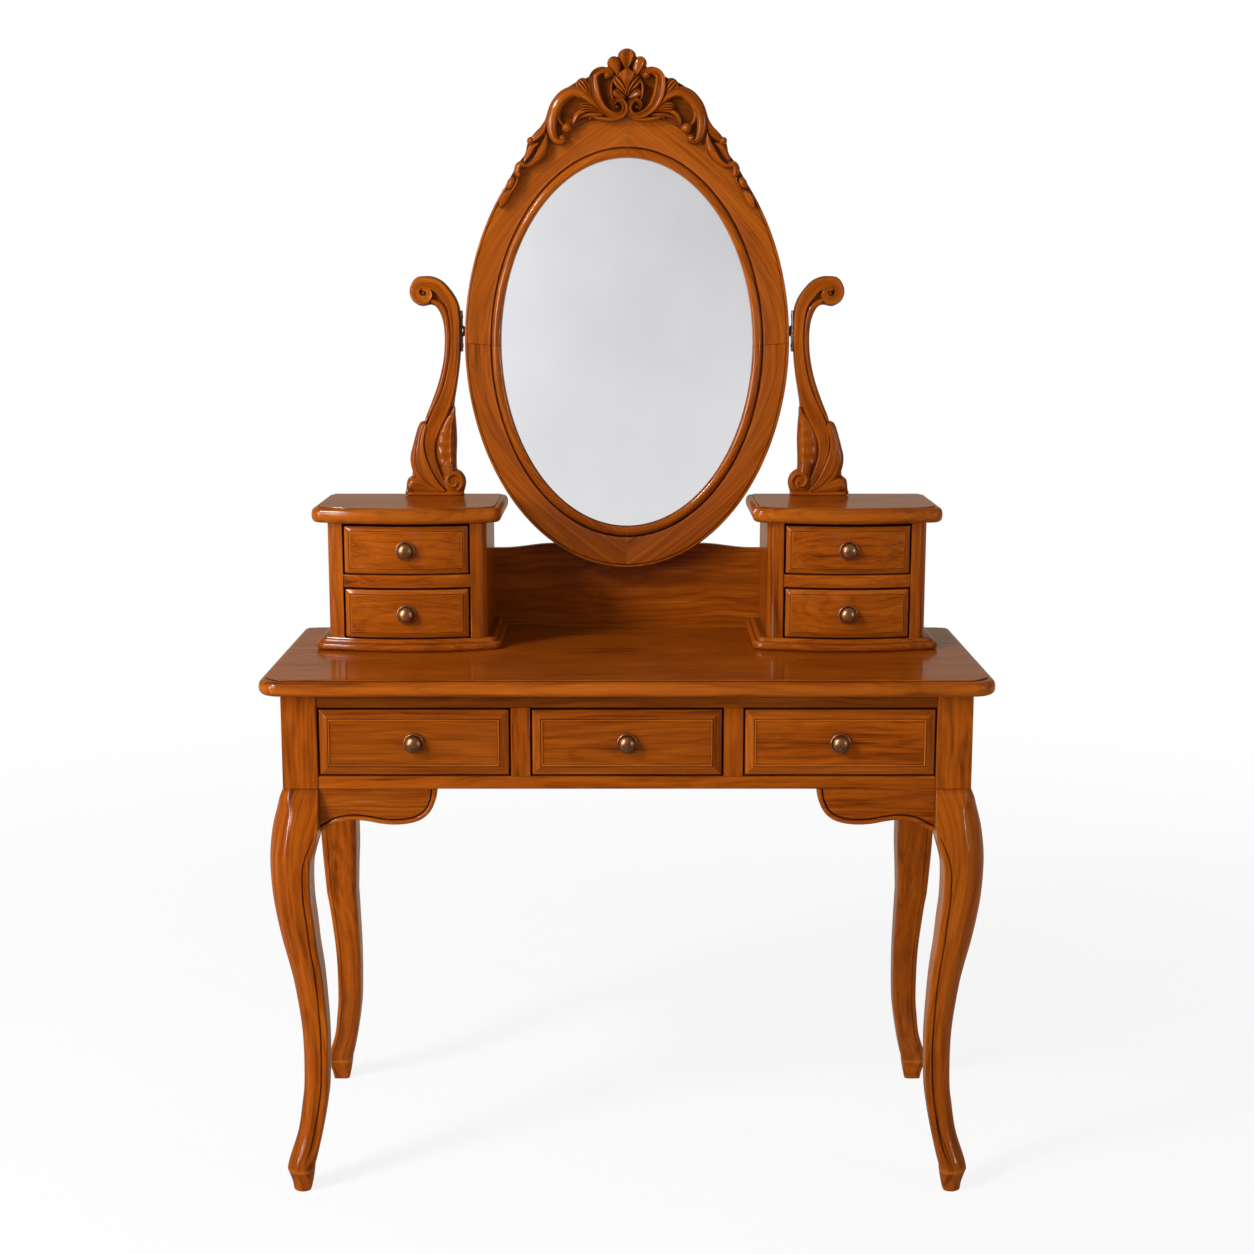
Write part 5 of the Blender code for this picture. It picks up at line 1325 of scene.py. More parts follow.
class DRESSING_OT_mirror(bpy.types.Operator):
    """Make the oval frame in its four joined quarters, and the glass"""

    bl_idname = "dressing.mirror"
    bl_label = "Mirror"

    def execute(self, context):
        low, high = corners("mirror_frame")
        face, back = low[1] + LIP_PROUD, high[1]
        bead = context.scene.dressing_trim.frame_bead
        lip = np.linspace(0, 1, 15)
        lip_in, lip_up = 0.0136 * lip, 0.0040 * np.sin(np.pi * np.clip(lip * 0.93 + 0.07, 0, 1)) ** 0.75
        # Distance out from the glass's edge, or inwards from the outer edge where it is negative.
        # The third value is darkness: painted shade by the glass, in the groove behind the lip and in the fine line
        # inside the outer bead, and paler lip and bead (below zero), which are painted highlight.
        section = [(0.0080, 0.0088, 0.3), (0.0, 0.0088, 0.3), (0.0, 0.0012, -0.1)]
        section += list(zip(lip_in, -lip_up, np.r_[0.0, -0.2, -0.1, np.zeros(10), 0.2, 0.6]))
        section += [(0.0141, 0.0010, 1.0), (0.0148, 0.0015, 1.0), (0.0156, 0.0010, 0.7), (0.0162, 0.0001, 0.1),
                    (0.0172, 0.0, -0.1), (0.0200, 0.0, 0.0)]
        turn = np.linspace(0, np.pi * 0.5, 8)
        section += [(-bead - 0.0040, 0.0, 0.0), (-bead - 0.0015, 0.0, 0.0), (-bead - 0.0008, 0.0006, 0.7),
                    (-bead - 0.0001, 0.0007, 0.9), (-bead + 0.0003, 0.0, 0.2)]
        section += [(-bead * (1 - np.sin(t)) * 0.55, -0.0004 + bead * 0.6 * (1 - np.cos(t)), -0.15) for t in turn]
        thick = back - face
        section += [(-0.0001, bead * 0.6 + 0.004, 0.1), (-0.0001, thick - 0.0015, 0.1), (-0.0012, thick, 0.0),
                    (-0.020, thick, 0.0), (0.0080, thick, 0.0)]
        away, deep, dark = np.array(section).T
        shapes = []
        joint = np.arcsin((JOINT_Z - OUTER_OVAL[2]) / OUTER_OVAL[1])
        gap = 0.00008
        joints = (joint, np.pi / 2, np.pi - joint, 1.5 * np.pi, 2 * np.pi + joint)
        for k, (start, end) in enumerate(zip(joints, joints[1:])):
            angle = np.r_[start + gap, np.linspace(start + 0.0022, end - 0.0022, 64), end - gap][:, None]
            gx, gz = oval_ring(*GLASS_OVAL, angle)
            ox, oz = oval_ring(*OUTER_OVAL, angle)
            width = np.hypot(ox - gx, oz - gz)
            share = np.where(away < 0, 1 + away / width, away / width)
            x, z = gx + (ox - gx) * share, gz + (oz - gz) * share
            y = np.broadcast_to(face + deep, x.shape).copy()
            # The lower part of the frame is painted darker, as shade, by the cube of how far below the middle it lies.
            shade = dark + 0.30 * np.clip(-np.sin(angle), 0, 1) ** 3
            y[[0, -1]] += np.where(deep < 0.006, 0.0005, 0.0)
            shade[[0, -1]] = 0.8
            shape = skin(np.stack((x, y, z), axis=2), shade, flat_caps=True)
            shape["grain"] = frame_grain(shape["points"], "quarter" * (k + 1))
            shapes.append(shape)
        piece("mirror_frame_quarters", shapes, "mirror_frame", "mirror")

        low, high = corners("mirror_glass")
        angle = np.linspace(0, 2 * np.pi, 160, endpoint=False)
        rows = []
        half_height, middle = (high[2] - low[2]) / 2, (low[2] + high[2]) / 2
        for inset, y in ((0.004, high[1]), (0.0, high[1]), (0.0, low[1] + 0.0004), (0.0004, low[1]), (0.004, low[1])):
            x, z = oval_ring(high[0] - inset, half_height - inset, middle, angle)
            rows.append(np.column_stack((x, np.full_like(x, y), z)))
        piece("mirror_glass_silvered", [skin(rows)], "mirror_glass", "mirror", "silvered_glass")
        return {"FINISHED"}


# Right half of the crest as drawn in the frame: share of its half width, share of its height down.
CREST_OUTER = (
    (0.000, 0.000), (0.040, 0.008), (0.068, 0.028), (0.076, 0.048), (0.108, 0.050), (0.140, 0.070),
    (0.153, 0.097), (0.150, 0.122), (0.200, 0.119), (0.253, 0.132), (0.291, 0.160), (0.308, 0.183),
    (0.355, 0.182), (0.406, 0.197), (0.444, 0.230), (0.500, 0.252), (0.563, 0.295), (0.606, 0.350),
    (0.633, 0.435), (0.670, 0.502), (0.722, 0.550), (0.762, 0.556), (0.783, 0.590), (0.776, 0.625),
    (0.805, 0.695), (0.853, 0.712), (0.880, 0.763), (0.873, 0.796), (0.917, 0.812), (0.941, 0.855),
    (0.932, 0.888), (0.980, 0.933), (1.000, 0.970),
)
CREST_INNER = (
    (0.989, 1.000), (0.917, 0.938), (0.861, 0.880), (0.822, 0.800), (0.797, 0.762), (0.720, 0.745),
    (0.653, 0.696), (0.610, 0.628), (0.568, 0.597), (0.500, 0.597), (0.461, 0.560), (0.414, 0.514),
    (0.321, 0.470), (0.227, 0.440), (0.142, 0.447), (0.074, 0.436), (0.000, 0.398),
)

# Carving of the crest's right half: section, then distance from the middle, depth down from the top,
# half width and crown of points along each leaf or scroll, in millimetres.
CREST_LEAVES = (
    ("lower leaf", "round", (
        (34.6, 95.4, 2, 6), (44.4, 95.4, 3.3, 7.5), (55.8, 95.4, 3.3, 7.5), (66.5, 98, 2.4, 6.5),
        (74.6, 102.4, 1.3, 5))),
    ("strand", "round", (
        (44.4, 96.7, 0.8, 5), (51.8, 98.6, 1.1, 5.5), (57.2, 103.2, 1, 4.5))),
    ("inner lip", "round", (
        (83.3, 72.5, 0.8, 5), (92.6, 77.9, 2, 6), (99.9, 88.5, 2.8, 7), (101.6, 99.1, 2.9, 7.5),
        (98, 106.8, 2.3, 7), (93.4, 110.6, 1.3, 6))),
    ("acanthus", "lobes 4", (
        (33.8, 92.1, 1.6, 6), (43.6, 88.5, 3.9, 9), (53.4, 85.6, 6.2, 11), (62.4, 84.9, 8.2, 11.5),
        (70.5, 86.9, 7.8, 10.5))),
    ("acanthus tip", "arris", (
        (60.7, 90.5, 1.6, 8), (68.9, 91.8, 3.9, 10), (75.1, 97, 3.9, 10.5), (78.4, 103.9, 2.8, 9.5),
        (79.9, 109.4, 1.3, 8))),
    ("fan", "lobes 4", (
        (52.3, 75.4, 1.3, 6), (57.2, 65.3, 4.9, 8.5), (63.7, 55.5, 9.8, 10), (72.8, 45.1, 13.7, 9.5))),
    ("big scroll", "band", (
        (36.3, 91.4, 1.6, 6), (46.1, 81.7, 3.6, 8.5), (56.5, 71.9, 5.6, 10.5), (67, 65, 7.2, 11.5),
        (77.9, 62.1, 8.2, 12), (88.5, 65, 8.8, 12.5),
        (98, 72.8, 9.3, 12.5), (105.5, 84.3, 9.3, 12.5), (110.6, 96.7, 9.1, 12),
        (112.2, 108.4, 8.5, 11.5), (110.9, 119.5, 7.5, 11), (107.8, 129, 6.2, 10.5),
        (101.6, 134.6, 4.6, 10), (94.7, 133.6, 3.9, 9.5), (91.8, 129.3, 3.3, 9))),
    ("bottom stem", "round", (
        (51.8, 98, 1.3, 6), (42, 100.6, 2.8, 8), (29.7, 102.1, 3.6, 9), (18.3, 101.9, 3.6, 9.5),
        (6.9, 98, 2.6, 9.5), (1.1, 91.8, 1.3, 8.5))),
    ("upright scroll", "cove", (
        (23.5, 41.5, 3.9, 9), (26.1, 35.3, 5.1, 11), (34.3, 32, 5.6, 12), (43.1, 34, 6.2, 12.5),
        (49, 40.8, 7.2, 13), (49.3, 50.1, 8, 13),
        (48, 59.9, 8.5, 13), (45.2, 70.5, 8.2, 12.5), (40.2, 80.3, 7.2, 12), (32.3, 89.2, 6, 11.5),
        (21.9, 95.4, 5.4, 11.5), (11.4, 96.7, 4.9, 12),
        (4.2, 90.5, 4.4, 12), (4.1, 81, 4.1, 12), (10.1, 74.5, 3.8, 12), (17.5, 76.1, 3.1, 12),
        (19.9, 82.6, 2.4, 11.5), (16.3, 87.2, 1.8, 11))),
    ("side lobe", "arris", (
        (12.7, 39.8, 1, 7), (14.4, 33.3, 6.2, 9), (16.7, 27.1, 9.1, 10.5), (19.6, 20.2, 10.1, 11),
        (22.9, 11.8, 9.1, 10))),
    ("curl lower", "band", (
        (2.6, 71.5, 1.3, 7), (8.8, 67.9, 4.9, 9.5), (15.7, 64.3, 6.9, 12), (21.2, 60.1, 4.9, 11.5))),
    ("curl upper", "lobes 3", (
        (0.8, 68.9, 1, 8), (3.6, 59.1, 5.6, 10), (10.1, 49.6, 9.5, 12), (18.9, 39.8, 7.5, 11))),
    ("curl rim", "round", (
        (19.9, 46.1, 1.3, 10), (23.2, 54.2, 2.1, 12.5), (22.9, 64.3, 2.1, 12.5),
        (20.6, 74.5, 1.3, 10))),
    ("stem leaf", "arris", (
        (120.8, 103.2, 1.3, 6), (125.1, 115.9, 5.2, 8.5), (131.9, 124.4, 6.2, 9),
        (138.8, 130.6, 4.9, 8.5), (144.4, 136.2, 2, 7))),
    ("middle leaf", "arris", (
        (131, 135.9, 1.3, 6), (140.8, 142.1, 5.2, 8), (145.7, 149.9, 5.4, 8), (150.6, 158.1, 3.6, 7),
        (153.5, 163.3, 1.5, 6))),
    ("long leaf", "ridge", (
        (118.9, 120.5, 0.8, 6), (120.8, 132.3, 4.1, 9), (124.6, 144, 6.9, 10.5),
        (130.3, 154.2, 6.9, 10.5), (137.8, 163, 5.2, 10), (145.7, 168.5, 3.6, 9.5),
        (152.5, 169.8, 2.3, 9))),
    ("s curl", "band", (
        (149.7, 170.2, 2.9, 8), (157.7, 166.9, 4.7, 10), (162.3, 170.8, 5.2, 10.5),
        (163.3, 178, 5.1, 10.5), (160, 186.2, 3.6, 9))),
    ("link leaf", "round", (
        (162.6, 185.5, 1.1, 7), (164.3, 193.3, 2.4, 9), (168.5, 201.5, 2.4, 9), (173.8, 208.5, 1.8, 8),
        (175.9, 213.9, 1, 7))),
    ("last leaf", "ridge", (
        (171.5, 203.1, 1.3, 6), (180, 212.6, 6.2, 9), (185.5, 221.1, 5.9, 8.5),
        (189.8, 231.2, 1.6, 6))),
)
CREST_BUDS = (
    ("scroll eye", (28.7, 38.5), 5.9, 5.9, 0, 13),
    ("tail ball", (88.8, 114.6), 8.3, 7.8, 0, 13),
    ("tail knob", (96, 128.7), 5.6, 4.6, 20, 11.5),
    ("bud", (143.2, 133.3), 6, 6.2, 0, 10.5),
    ("oval bud", (172.8, 194.7), 6.7, 9.8, -26, 10.5),
    ("volute eye", (14.7, 84.3), 2.4, 2.4, 0, 12.5),
)
MIDDLE_LEAVES = (
    ("top lobe", "shell", (
        (0, 30.7, 1.3, 8), (0, 25.1, 4.9, 10.5), (0, 19.9, 8.8, 12), (0, 13.4, 12.7, 12.5),
        (0, 7.2, 14.7, 12), (0, 0.1, 14.4, 11))),
    ("kite", "flat", (
        (0, 28.7, 1, 11), (0, 31.7, 5.6, 12.5), (0, 34.9, 11.1, 13), (0, 38.5, 11.8, 13),
        (0, 45.1, 7.8, 12.5), (0, 52.9, 3.6, 11.5),
        (0, 60.1, 0.5, 10))),
)
# Level of the crest's top, half its width, its height, and the depth of the ground it is carved from.
CREST_TOP = 1.635
CREST_HALF = 0.196
CREST_TALL = 0.227
CREST_GROUND = 0.1462


def down(line):
    """Points with the depth below the top turned into a height."""
    return [(x, -z, *rest) for x, z, *rest in line]


class DRESSING_OT_crest(bpy.types.Operator):
    """Carve the crest: scalloped ground, scrolls, leaves and buds"""

    bl_idname = "dressing.crest"
    bl_label = "Crest"

    def execute(self, context):
        high = corners("mirror_crest")[1]
        origin = (0.0, CREST_TOP)
        face = corners("mirror_frame")[0][1] + LIP_PROUD
        outer = even_line(np.array(CREST_OUTER) * (CREST_HALF, -CREST_TALL), 110)
        inner = even_line(np.array(CREST_INNER[::-1]) * (CREST_HALF, -CREST_TALL), 110)
        soft = np.ones(9) / 9
        padded = (np.pad(column, 4, mode="reflect", reflect_type="odd") for column in outer.T)
        outer = np.column_stack([np.convolve(column, soft, "valid") for column in padded])
        outer = outer - 0.0035 * side_of(outer)
        outer, inner = (np.vstack(((line * (-1, 1))[:0:-1], line)) + (0, CREST_TOP) for line in (outer, inner))
        seat_x = outer[:, 0] * 0.985
        seat_z = SEAT_OVAL[2] + SEAT_OVAL[1] * np.sqrt(1 - (seat_x / SEAT_OVAL[0]) ** 2)
        seat = np.column_stack((seat_x, seat_z))
        over = outer[:, 1] - seat[:, 1] > 0.004
        # The ground between the carving is painted dark (0.55) as shade in its recesses, and the seat behind the
        # frame's top a little (0.2) as shade.
        shapes = [strip(outer, inner, CREST_GROUND, face - 0.0003, 0.55),
                  strip(outer[over], seat[over], face - 0.001, high[1], 0.2)]
        back = CREST_GROUND + 0.004
        for _, kind, line in CREST_LEAVES:
            for side in (1, -1):
                shapes.append(carved(down(line), section_of(kind), CREST_GROUND, back, side, origin))
        for _, centre, a, b, turn, crown in CREST_BUDS:
            for side in (1, -1):
                shapes.append(boss((centre[0], -centre[1]), a, b, -turn, crown, CREST_GROUND, back, side, origin))
        for _, kind, line in MIDDLE_LEAVES:
            shapes.append(carved(down(line), section_of(kind), CREST_GROUND, back, 1, origin))
        for shape in shapes:
            if "grain" not in shape:
                grained(shape, "crest", "X", 0.15)
        piece("mirror_crest_carved", shapes, "mirror_crest", "mirror", sharp=50.0)
        return {"FINISHED"}


# Outline of an arm as drawn in the frame: share of its width from the outer side, share of its height.
ARM_SHARES = (
    (0.120, 0.940), (0.155, 0.967), (0.255, 0.991), (0.415, 1.000), (0.575, 0.990), (0.720, 0.960),
    (0.850, 0.915), (0.935, 0.865), (0.953, 0.824), (0.960, 0.755), (0.953, 0.686), (0.916, 0.590),
    (0.867, 0.490), (0.827, 0.407), (0.850, 0.350), (0.864, 0.257), (0.852, 0.177), (0.862, 0.113),
    (0.950, 0.097), (1.000, 0.055), (0.965, 0.013), (0.900, 0.000), (0.060, 0.000), (0.008, 0.030),
    (0.030, 0.073), (0.115, 0.098), (0.080, 0.157), (0.098, 0.204), (0.156, 0.233), (0.195, 0.297),
    (0.254, 0.334), (0.325, 0.342), (0.375, 0.345), (0.503, 0.400), (0.606, 0.470), (0.680, 0.564),
    (0.698, 0.650), (0.697, 0.738), (0.650, 0.811), (0.568, 0.857), (0.475, 0.870), (0.320, 0.864),
    (0.187, 0.883), (0.122, 0.915),
)

# Carving of an arm: section, ribs, then distance inwards, height, half width and crown, in millimetres.
ARM_LEAVES = (
    ("stem side", "round", 0, (
        (40.9, 299.2, 2.7, 5), (50.6, 293.5, 4.9, 6.5), (59.4, 287.4, 5.6, 7), (65.2, 274.2, 5.6, 7.2),
        (68.2, 254.3, 5.4, 7.2), (68.6, 232.2, 5.4, 7.2),
        (66.1, 205.6, 5.4, 7.2), (58.9, 174.5, 5.4, 7.2), (47.2, 143.3, 4.9, 7), (36.5, 120.9, 3.6, 6),
        (32.3, 111.9, 1.8, 5))),
    ("stem", "stem", 0, (
        (30.9, 310.3, 2, 9.2), (32.7, 313.7, 3.1, 9), (39.2, 313.1, 4.5, 8.8), (41.8, 306, 5.6, 8.8),
        (38.2, 299.5, 6.7, 8.9), (30.3, 297.2, 7.4, 9),
        (22.8, 301.3, 7.6, 9.1), (19.7, 309.3, 7.8, 9.1), (22.2, 318.1, 8.7, 9.2),
        (29, 323.5, 9.6, 9.2), (50.6, 320.3, 10.3, 9.3), (64, 308.2, 10.5, 9.3),
        (74, 293.5, 10.1, 9.3), (78.2, 279.7, 9.2, 9.3), (80.3, 254.3, 8.3, 9.3), (80.2, 232.2, 8, 9.3),
        (78, 205.6, 8.5, 9.3), (72.6, 174.5, 9.6, 9.2),
        (65.2, 147.7, 11.6, 9), (55, 125.4, 12.5, 8.6), (46.4, 107.4, 12.1, 8), (39.7, 87.2, 10.7, 7.2),
        (39.6, 64.7, 8, 6.4), (45.9, 42.1, 6.3, 6),
        (54.7, 24, 4.5, 5.5), (60.8, 11.5, 1.8, 5))),
    ("foot base", "round", 0, (
        (2.5, 2.2, 3.5, 5), (20, 2.4, 5, 7), (50, 2.4, 5, 7.4), (75, 2.4, 5, 7.2),
        (89.5, 2.2, 3.5, 5))),
    ("foot lobe", "round", 0, (
        (3.3, 10.4, 4.5, 6), (12.5, 16.3, 11.2, 8.3), (25.6, 13.6, 11.6, 8.6), (40.2, 10.4, 8.9, 8),
        (59.4, 5.4, 3.6, 6.5))),
    ("inner leaf", "ridge", 6, (
        (76.9, 136.6, 1.1, 7.5), (73.4, 124.3, 4.9, 8.3), (68.5, 111.9, 9.4, 8.9),
        (65.1, 98.5, 12.5, 9.3), (63.3, 85, 14.3, 9.4), (62.7, 71.4, 14.8, 9.4),
        (63.6, 57.9, 13.9, 9.2), (65.6, 42.1, 10.7, 8.6))),
    ("outer leaf", "leaf", 0, (
        (31.8, 112.8, 5.8, 9), (27.2, 104.7, 6.7, 9.2), (23.4, 91.7, 7.2, 9.2), (20.9, 78.2, 8.5, 9.3),
        (20.2, 64.7, 11.2, 9.4), (22.1, 48.9, 13.9, 9.4),
        (28.2, 34.2, 13.9, 9.4), (38.1, 21.7, 10.7, 9.2), (49.3, 12.2, 6.7, 9), (61.2, 5.4, 2.2, 8.5))),
    ("collar", "round", 0, (
        (65.1, 56.1, 8, 9.2), (65.9, 46.6, 9.4, 9.4), (67.5, 36.4, 9.4, 9.4), (69.9, 27.4, 7.6, 9.2))),
    ("snail scroll", "round", 0, (
        (77.8, 8.4, 3.1, 8.2), (84.8, 12.8, 3.8, 8.8), (87.6, 21.5, 4.2, 9.2), (83.8, 30.6, 4.5, 9.4),
        (74.7, 34, 4.7, 9.4), (66.7, 29.5, 4.7, 9.4),
        (64.8, 21.5, 4.7, 9.4), (69.2, 15.2, 4.2, 9.3), (75.6, 15, 3.6, 9.3), (78.6, 19.1, 2.9, 9.3),
        (77.3, 22.5, 2.2, 9.3))),
)
ARM_BUDS = (
    ("stem eye", (33.0, 307.6), 3.4, 3.4, 0, 9.2),
    ("snail ground", (74.5, 20.5), 18.5, 20.5, 0, 7.0),
)
ARM_WIDE = 0.0917
ARM_TALL = 0.3335


class DRESSING_OT_arms(bpy.types.Operator):
    """Carve the two scroll arms: stem with a volute, leaves and a snail scroll at the foot"""

    bl_idname = "dressing.arms"
    bl_label = "Scroll arms"

    def execute(self, context):
        for name, side in SIDES:
            node = name + "_arm"
            low, high = corners(node)
            outer = max(abs(low[0]), abs(high[0]))
            origin = (side * outer, low[2])
            ground, back = low[1] + 0.0095, high[1]
            line = even_line(np.vstack((ARM_SHARES, ARM_SHARES[:1])), 260)[:-1] * (-side * ARM_WIDE, ARM_TALL)
            # The flat ground behind the carving is painted a little darker (0.15), as shade.
            shapes = [slab(line + origin, ground - 0.001, back, 0.0035, 0.15)]
            stub = ground + 0.003
            for _, kind, ribs, leaf in ARM_LEAVES:
                shapes.append(carved(
                    leaf, section_of(kind), ground, stub, -side, origin, count=160 if kind == "stem" else 60,
                    rib=0.16 if ribs else 0, ribs=ribs))
            for _, centre, a, b, turn, crown in ARM_BUDS:
                shapes.append(boss(centre, a, b, turn, crown, ground, stub, -side, origin))
            for shape in shapes:
                shape["points"][:, 2] = np.maximum(shape["points"][:, 2], low[2])
                if "grain" not in shape:
                    grained(shape, node, "Z")
            piece(node + "_carved", shapes, node,
                  sharp=50.0)
        return {"FINISHED"}


# Pin of a pivot past its collar, in to the frame: distance from the middle plane, and radius.
PIN = ((0.2474, 0.0074), (0.2471, 0.0070), (0.2471, 0.0045), (0.2471, 0.0040), (0.2290, 0.0040),
       (0.2286, 0.0036), (0.2286, 0.0005))
SCREW_Z = 0.022


def pin_shape(profile, side, y, z, node):
    """Turned pin along X: distance from the middle plane and radius of each point of the profile."""
    angle = np.linspace(0, 2 * np.pi, 40, endpoint=False)
    reach, radius = np.array(profile).T[:, :, None]
    rows = (side * reach + 0 * angle, y + radius * np.cos(angle), z + radius * np.sin(angle))
    return grained(skin(np.stack(rows, axis=2)), node, "X")


class DRESSING_OT_pivots(bpy.types.Operator):
    """Make the two steel pivots between the arms and the frame"""

    bl_idname = "dressing.pivots"
    bl_label = "Pivots"

    def execute(self, context):
        for name, side in SIDES:
            node = name + "_pivot"
            low, high = corners(node)
            outer = max(abs(low[0]), abs(high[0]))
            middle_y, middle_z = (low[1] + high[1]) / 2, (low[2] + high[2]) / 2
            x_low, x_high = sorted((side * outer, side * (outer - 0.003)))
            plate = round_board((x_low, low[1], low[2]), (x_high, high[1], high[2]), 0.0012, "Z", node)
            plate_in = outer - 0.0029
            pin = [
                (plate_in, 0.0005), (plate_in, 0.0080), (outer - 0.0036, 0.0084), (outer - 0.0042, 0.0084), *PIN]
            head = [(plate_in, 0.0003), (plate_in, 0.0034), (outer - 0.0034, 0.0032), (outer - 0.0038, 0.0022),
                    (outer - 0.0039, 0.0003)]
            shapes = [plate, pin_shape(pin, side, middle_y, middle_z, node)]
            for z in (-SCREW_Z, SCREW_Z):
                shapes.append(pin_shape(head, side, middle_y, middle_z + z, node))
            piece(node + "_turned", shapes, node, slot="grey_steel")
        return {"FINISHED"}


# What polished pieces see of the room is warm, apart from the card that the glass sees.
WARM = (1.0, 0.86, 0.66, 1)
WHITE = (1, 1, 1, 1)
LAMP_PEAK = 3.04
# Camera: where it stands, how many degrees it looks down, and the width of its sensor in mm.
EYE = (0.0, -2.915, 1.3095)
LOOK_DOWN = 10.065
SENSOR = 36.0
FLOOR_REACH = 6.0


class DRESSING_OT_stage(bpy.types.Operator):
    """Make the floor, the studio light and the camera"""

    bl_idname = "dressing.stage"
    bl_label = "Floor, light and camera"

    def execute(self, context):
        stage = context.scene.dressing_stage
        reach = FLOOR_REACH
        mesh = bpy.data.meshes.new("floor")
        floor_corners = [(-reach, -reach, 0), (reach, -reach, 0), (reach, reach, 0), (-reach, reach, 0)]
        mesh.from_pydata(floor_corners, [], [(0, 1, 2, 3)])
        floor = bpy.data.objects.new("floor", mesh)
        context.scene.collection.objects.link(floor)
        mesh.materials.append(self.floor_material(stage))
        self.sky(context, stage)
        self.lamp(context, "key light", (-2.7, -2.1, 3.2), (0.0, 0.0, 0.85), (1.0, 1.0), stage.key_power)
        self.lamp(context, "left window", (-2.95, -2.55, 1.75), (-0.3, -0.1, 1.1), (1.9, 2.2), stage.window_power)
        self.lamp(context, "strip light", (-3.3, -2.0, 1.25), (0.0, 0.0, 1.25), (0.14, 2.4), stage.strip_power)
        self.lamp(context, "side light", (3.4, -2.2, 1.30), (0.0, 0.0, 1.30), (0.05, 2.4), stage.side_power)
        data = bpy.data.cameras.new("camera")
        data.lens = stage.lens
        data.sensor_width = SENSOR
        camera = bpy.data.objects.new("camera", data)
        camera.location = EYE
        camera.rotation_euler = (np.radians(90 - LOOK_DOWN), 0.0, 0.0)
        context.scene.collection.objects.link(camera)
        context.scene.camera = camera
        context.scene.view_settings.view_transform = "Standard"
        return {"FINISHED"}

    def floor_material(self, stage):
        """White paper floor, plain white to the camera but for a share near the table.

        That share takes the shadow. Polished pieces see the floor in a warm tint, dark in front of the
        table and lighter behind it.
        """
        material, tree, shader = new_material("paper floor")
        feed(tree, shader, {"Base Color": (*stage.floor, 1.0), "Roughness": 0.9, "Specular IOR Level": 0.1})
        path = add(tree, "LightPath").outputs
        direct = add(tree, "Math", {
            0: path["Is Camera Ray"], 1: path["Is Transmission Ray"]}, operation="MAXIMUM")
        place = add(tree, "TexCoord").outputs["Object"]
        parts = add(tree, "SeparateXYZ", {"Vector": place})
        behind = add(tree, "MapRange", {
            0: parts.outputs["Y"], 1: -0.8, 2: 1.2, 3: 0.03, 4: 0.50}, interpolation_type="SMOOTHSTEP")
        level = add(tree, "Math", {0: direct, 1: behind}, operation="MAXIMUM")
        far = add(tree, "VectorMath", {0: place}, operation="LENGTH")
        fade = add(tree, "MapRange", {
            0: far.outputs["Value"], 1: 0.6, 2: 3.5, 3: 0.86, 4: 1.0}, interpolation_type="SMOOTHSTEP")
        share = add(tree, "Math", {0: direct, 1: fade}, operation="MULTIPLY")
        share = add(tree, "Math", {0: share, 1: path["Is Glossy Ray"]}, operation="MAXIMUM")
        tint = add(tree, "Mix", {0: direct, 6: WARM, 7: WHITE}, data_type="RGBA")
        white = add(tree, "Emission", {"Color": tint.outputs[2], "Strength": level})
        mix = add(tree, "MixShader", {0: share, 1: shader, 2: white})
        output = next(node for node in tree.nodes if node.type == "OUTPUT_MATERIAL")
        feed(tree, output, {"Surface": mix})
        return material

    def glass_view(self, tree, x, z, cloud):
        """How pale the glass sees the room: paler towards the left and towards the lower right.

        It is 0.735 - 1.1 x + 16 x squared, less ten times (x + 0.05) (z + 0.03), plus a soft cloud.
        """
        steep = add(tree, "Math", {0: x, 1: 16.0, 2: -1.1}, operation="MULTIPLY_ADD")
        pale = add(tree, "Math", {0: x, 1: steep, 2: 0.735}, operation="MULTIPLY_ADD")
        right = add(tree, "Math", {0: x, 1: 0.05}, operation="ADD")
        up = add(tree, "Math", {0: z, 1: 0.03}, operation="ADD")
        slant = add(tree, "Math", {0: right, 1: up}, operation="MULTIPLY")
        pale = add(tree, "Math", {0: slant, 1: -10.0, 2: pale}, operation="MULTIPLY_ADD")
        return add(tree, "Math", {0: cloud, 1: 0.06, 2: pale}, operation="MULTIPLY_ADD")

    def glass_card(self, tree, x, y, z):
        """Oval of directions in front that the glass looks at: 1 inside it and 0 outside."""
        wide = add(tree, "Math", {0: x, 1: 0.0645}, operation="DIVIDE")
        tall = add(tree, "Math", {0: z, 1: 0.036}, operation="ADD")
        tall = add(tree, "Math", {0: tall, 1: 0.0935}, operation="DIVIDE")
        wide, tall = (add(tree, "Math", {0: part, 1: 2.0}, operation="POWER") for part in (wide, tall))
        reach = add(tree, "Math", {0: wide, 1: tall}, operation="ADD")
        card = add(tree, "MapRange", {
            0: reach, 1: 1.14, 2: 1.0, 3: 0.0, 4: 1.0}, interpolation_type="SMOOTHSTEP")
        front = add(tree, "Math", {0: y, 1: 0.0}, operation="LESS_THAN")
        return add(tree, "Math", {0: card, 1: front}, operation="MULTIPLY")

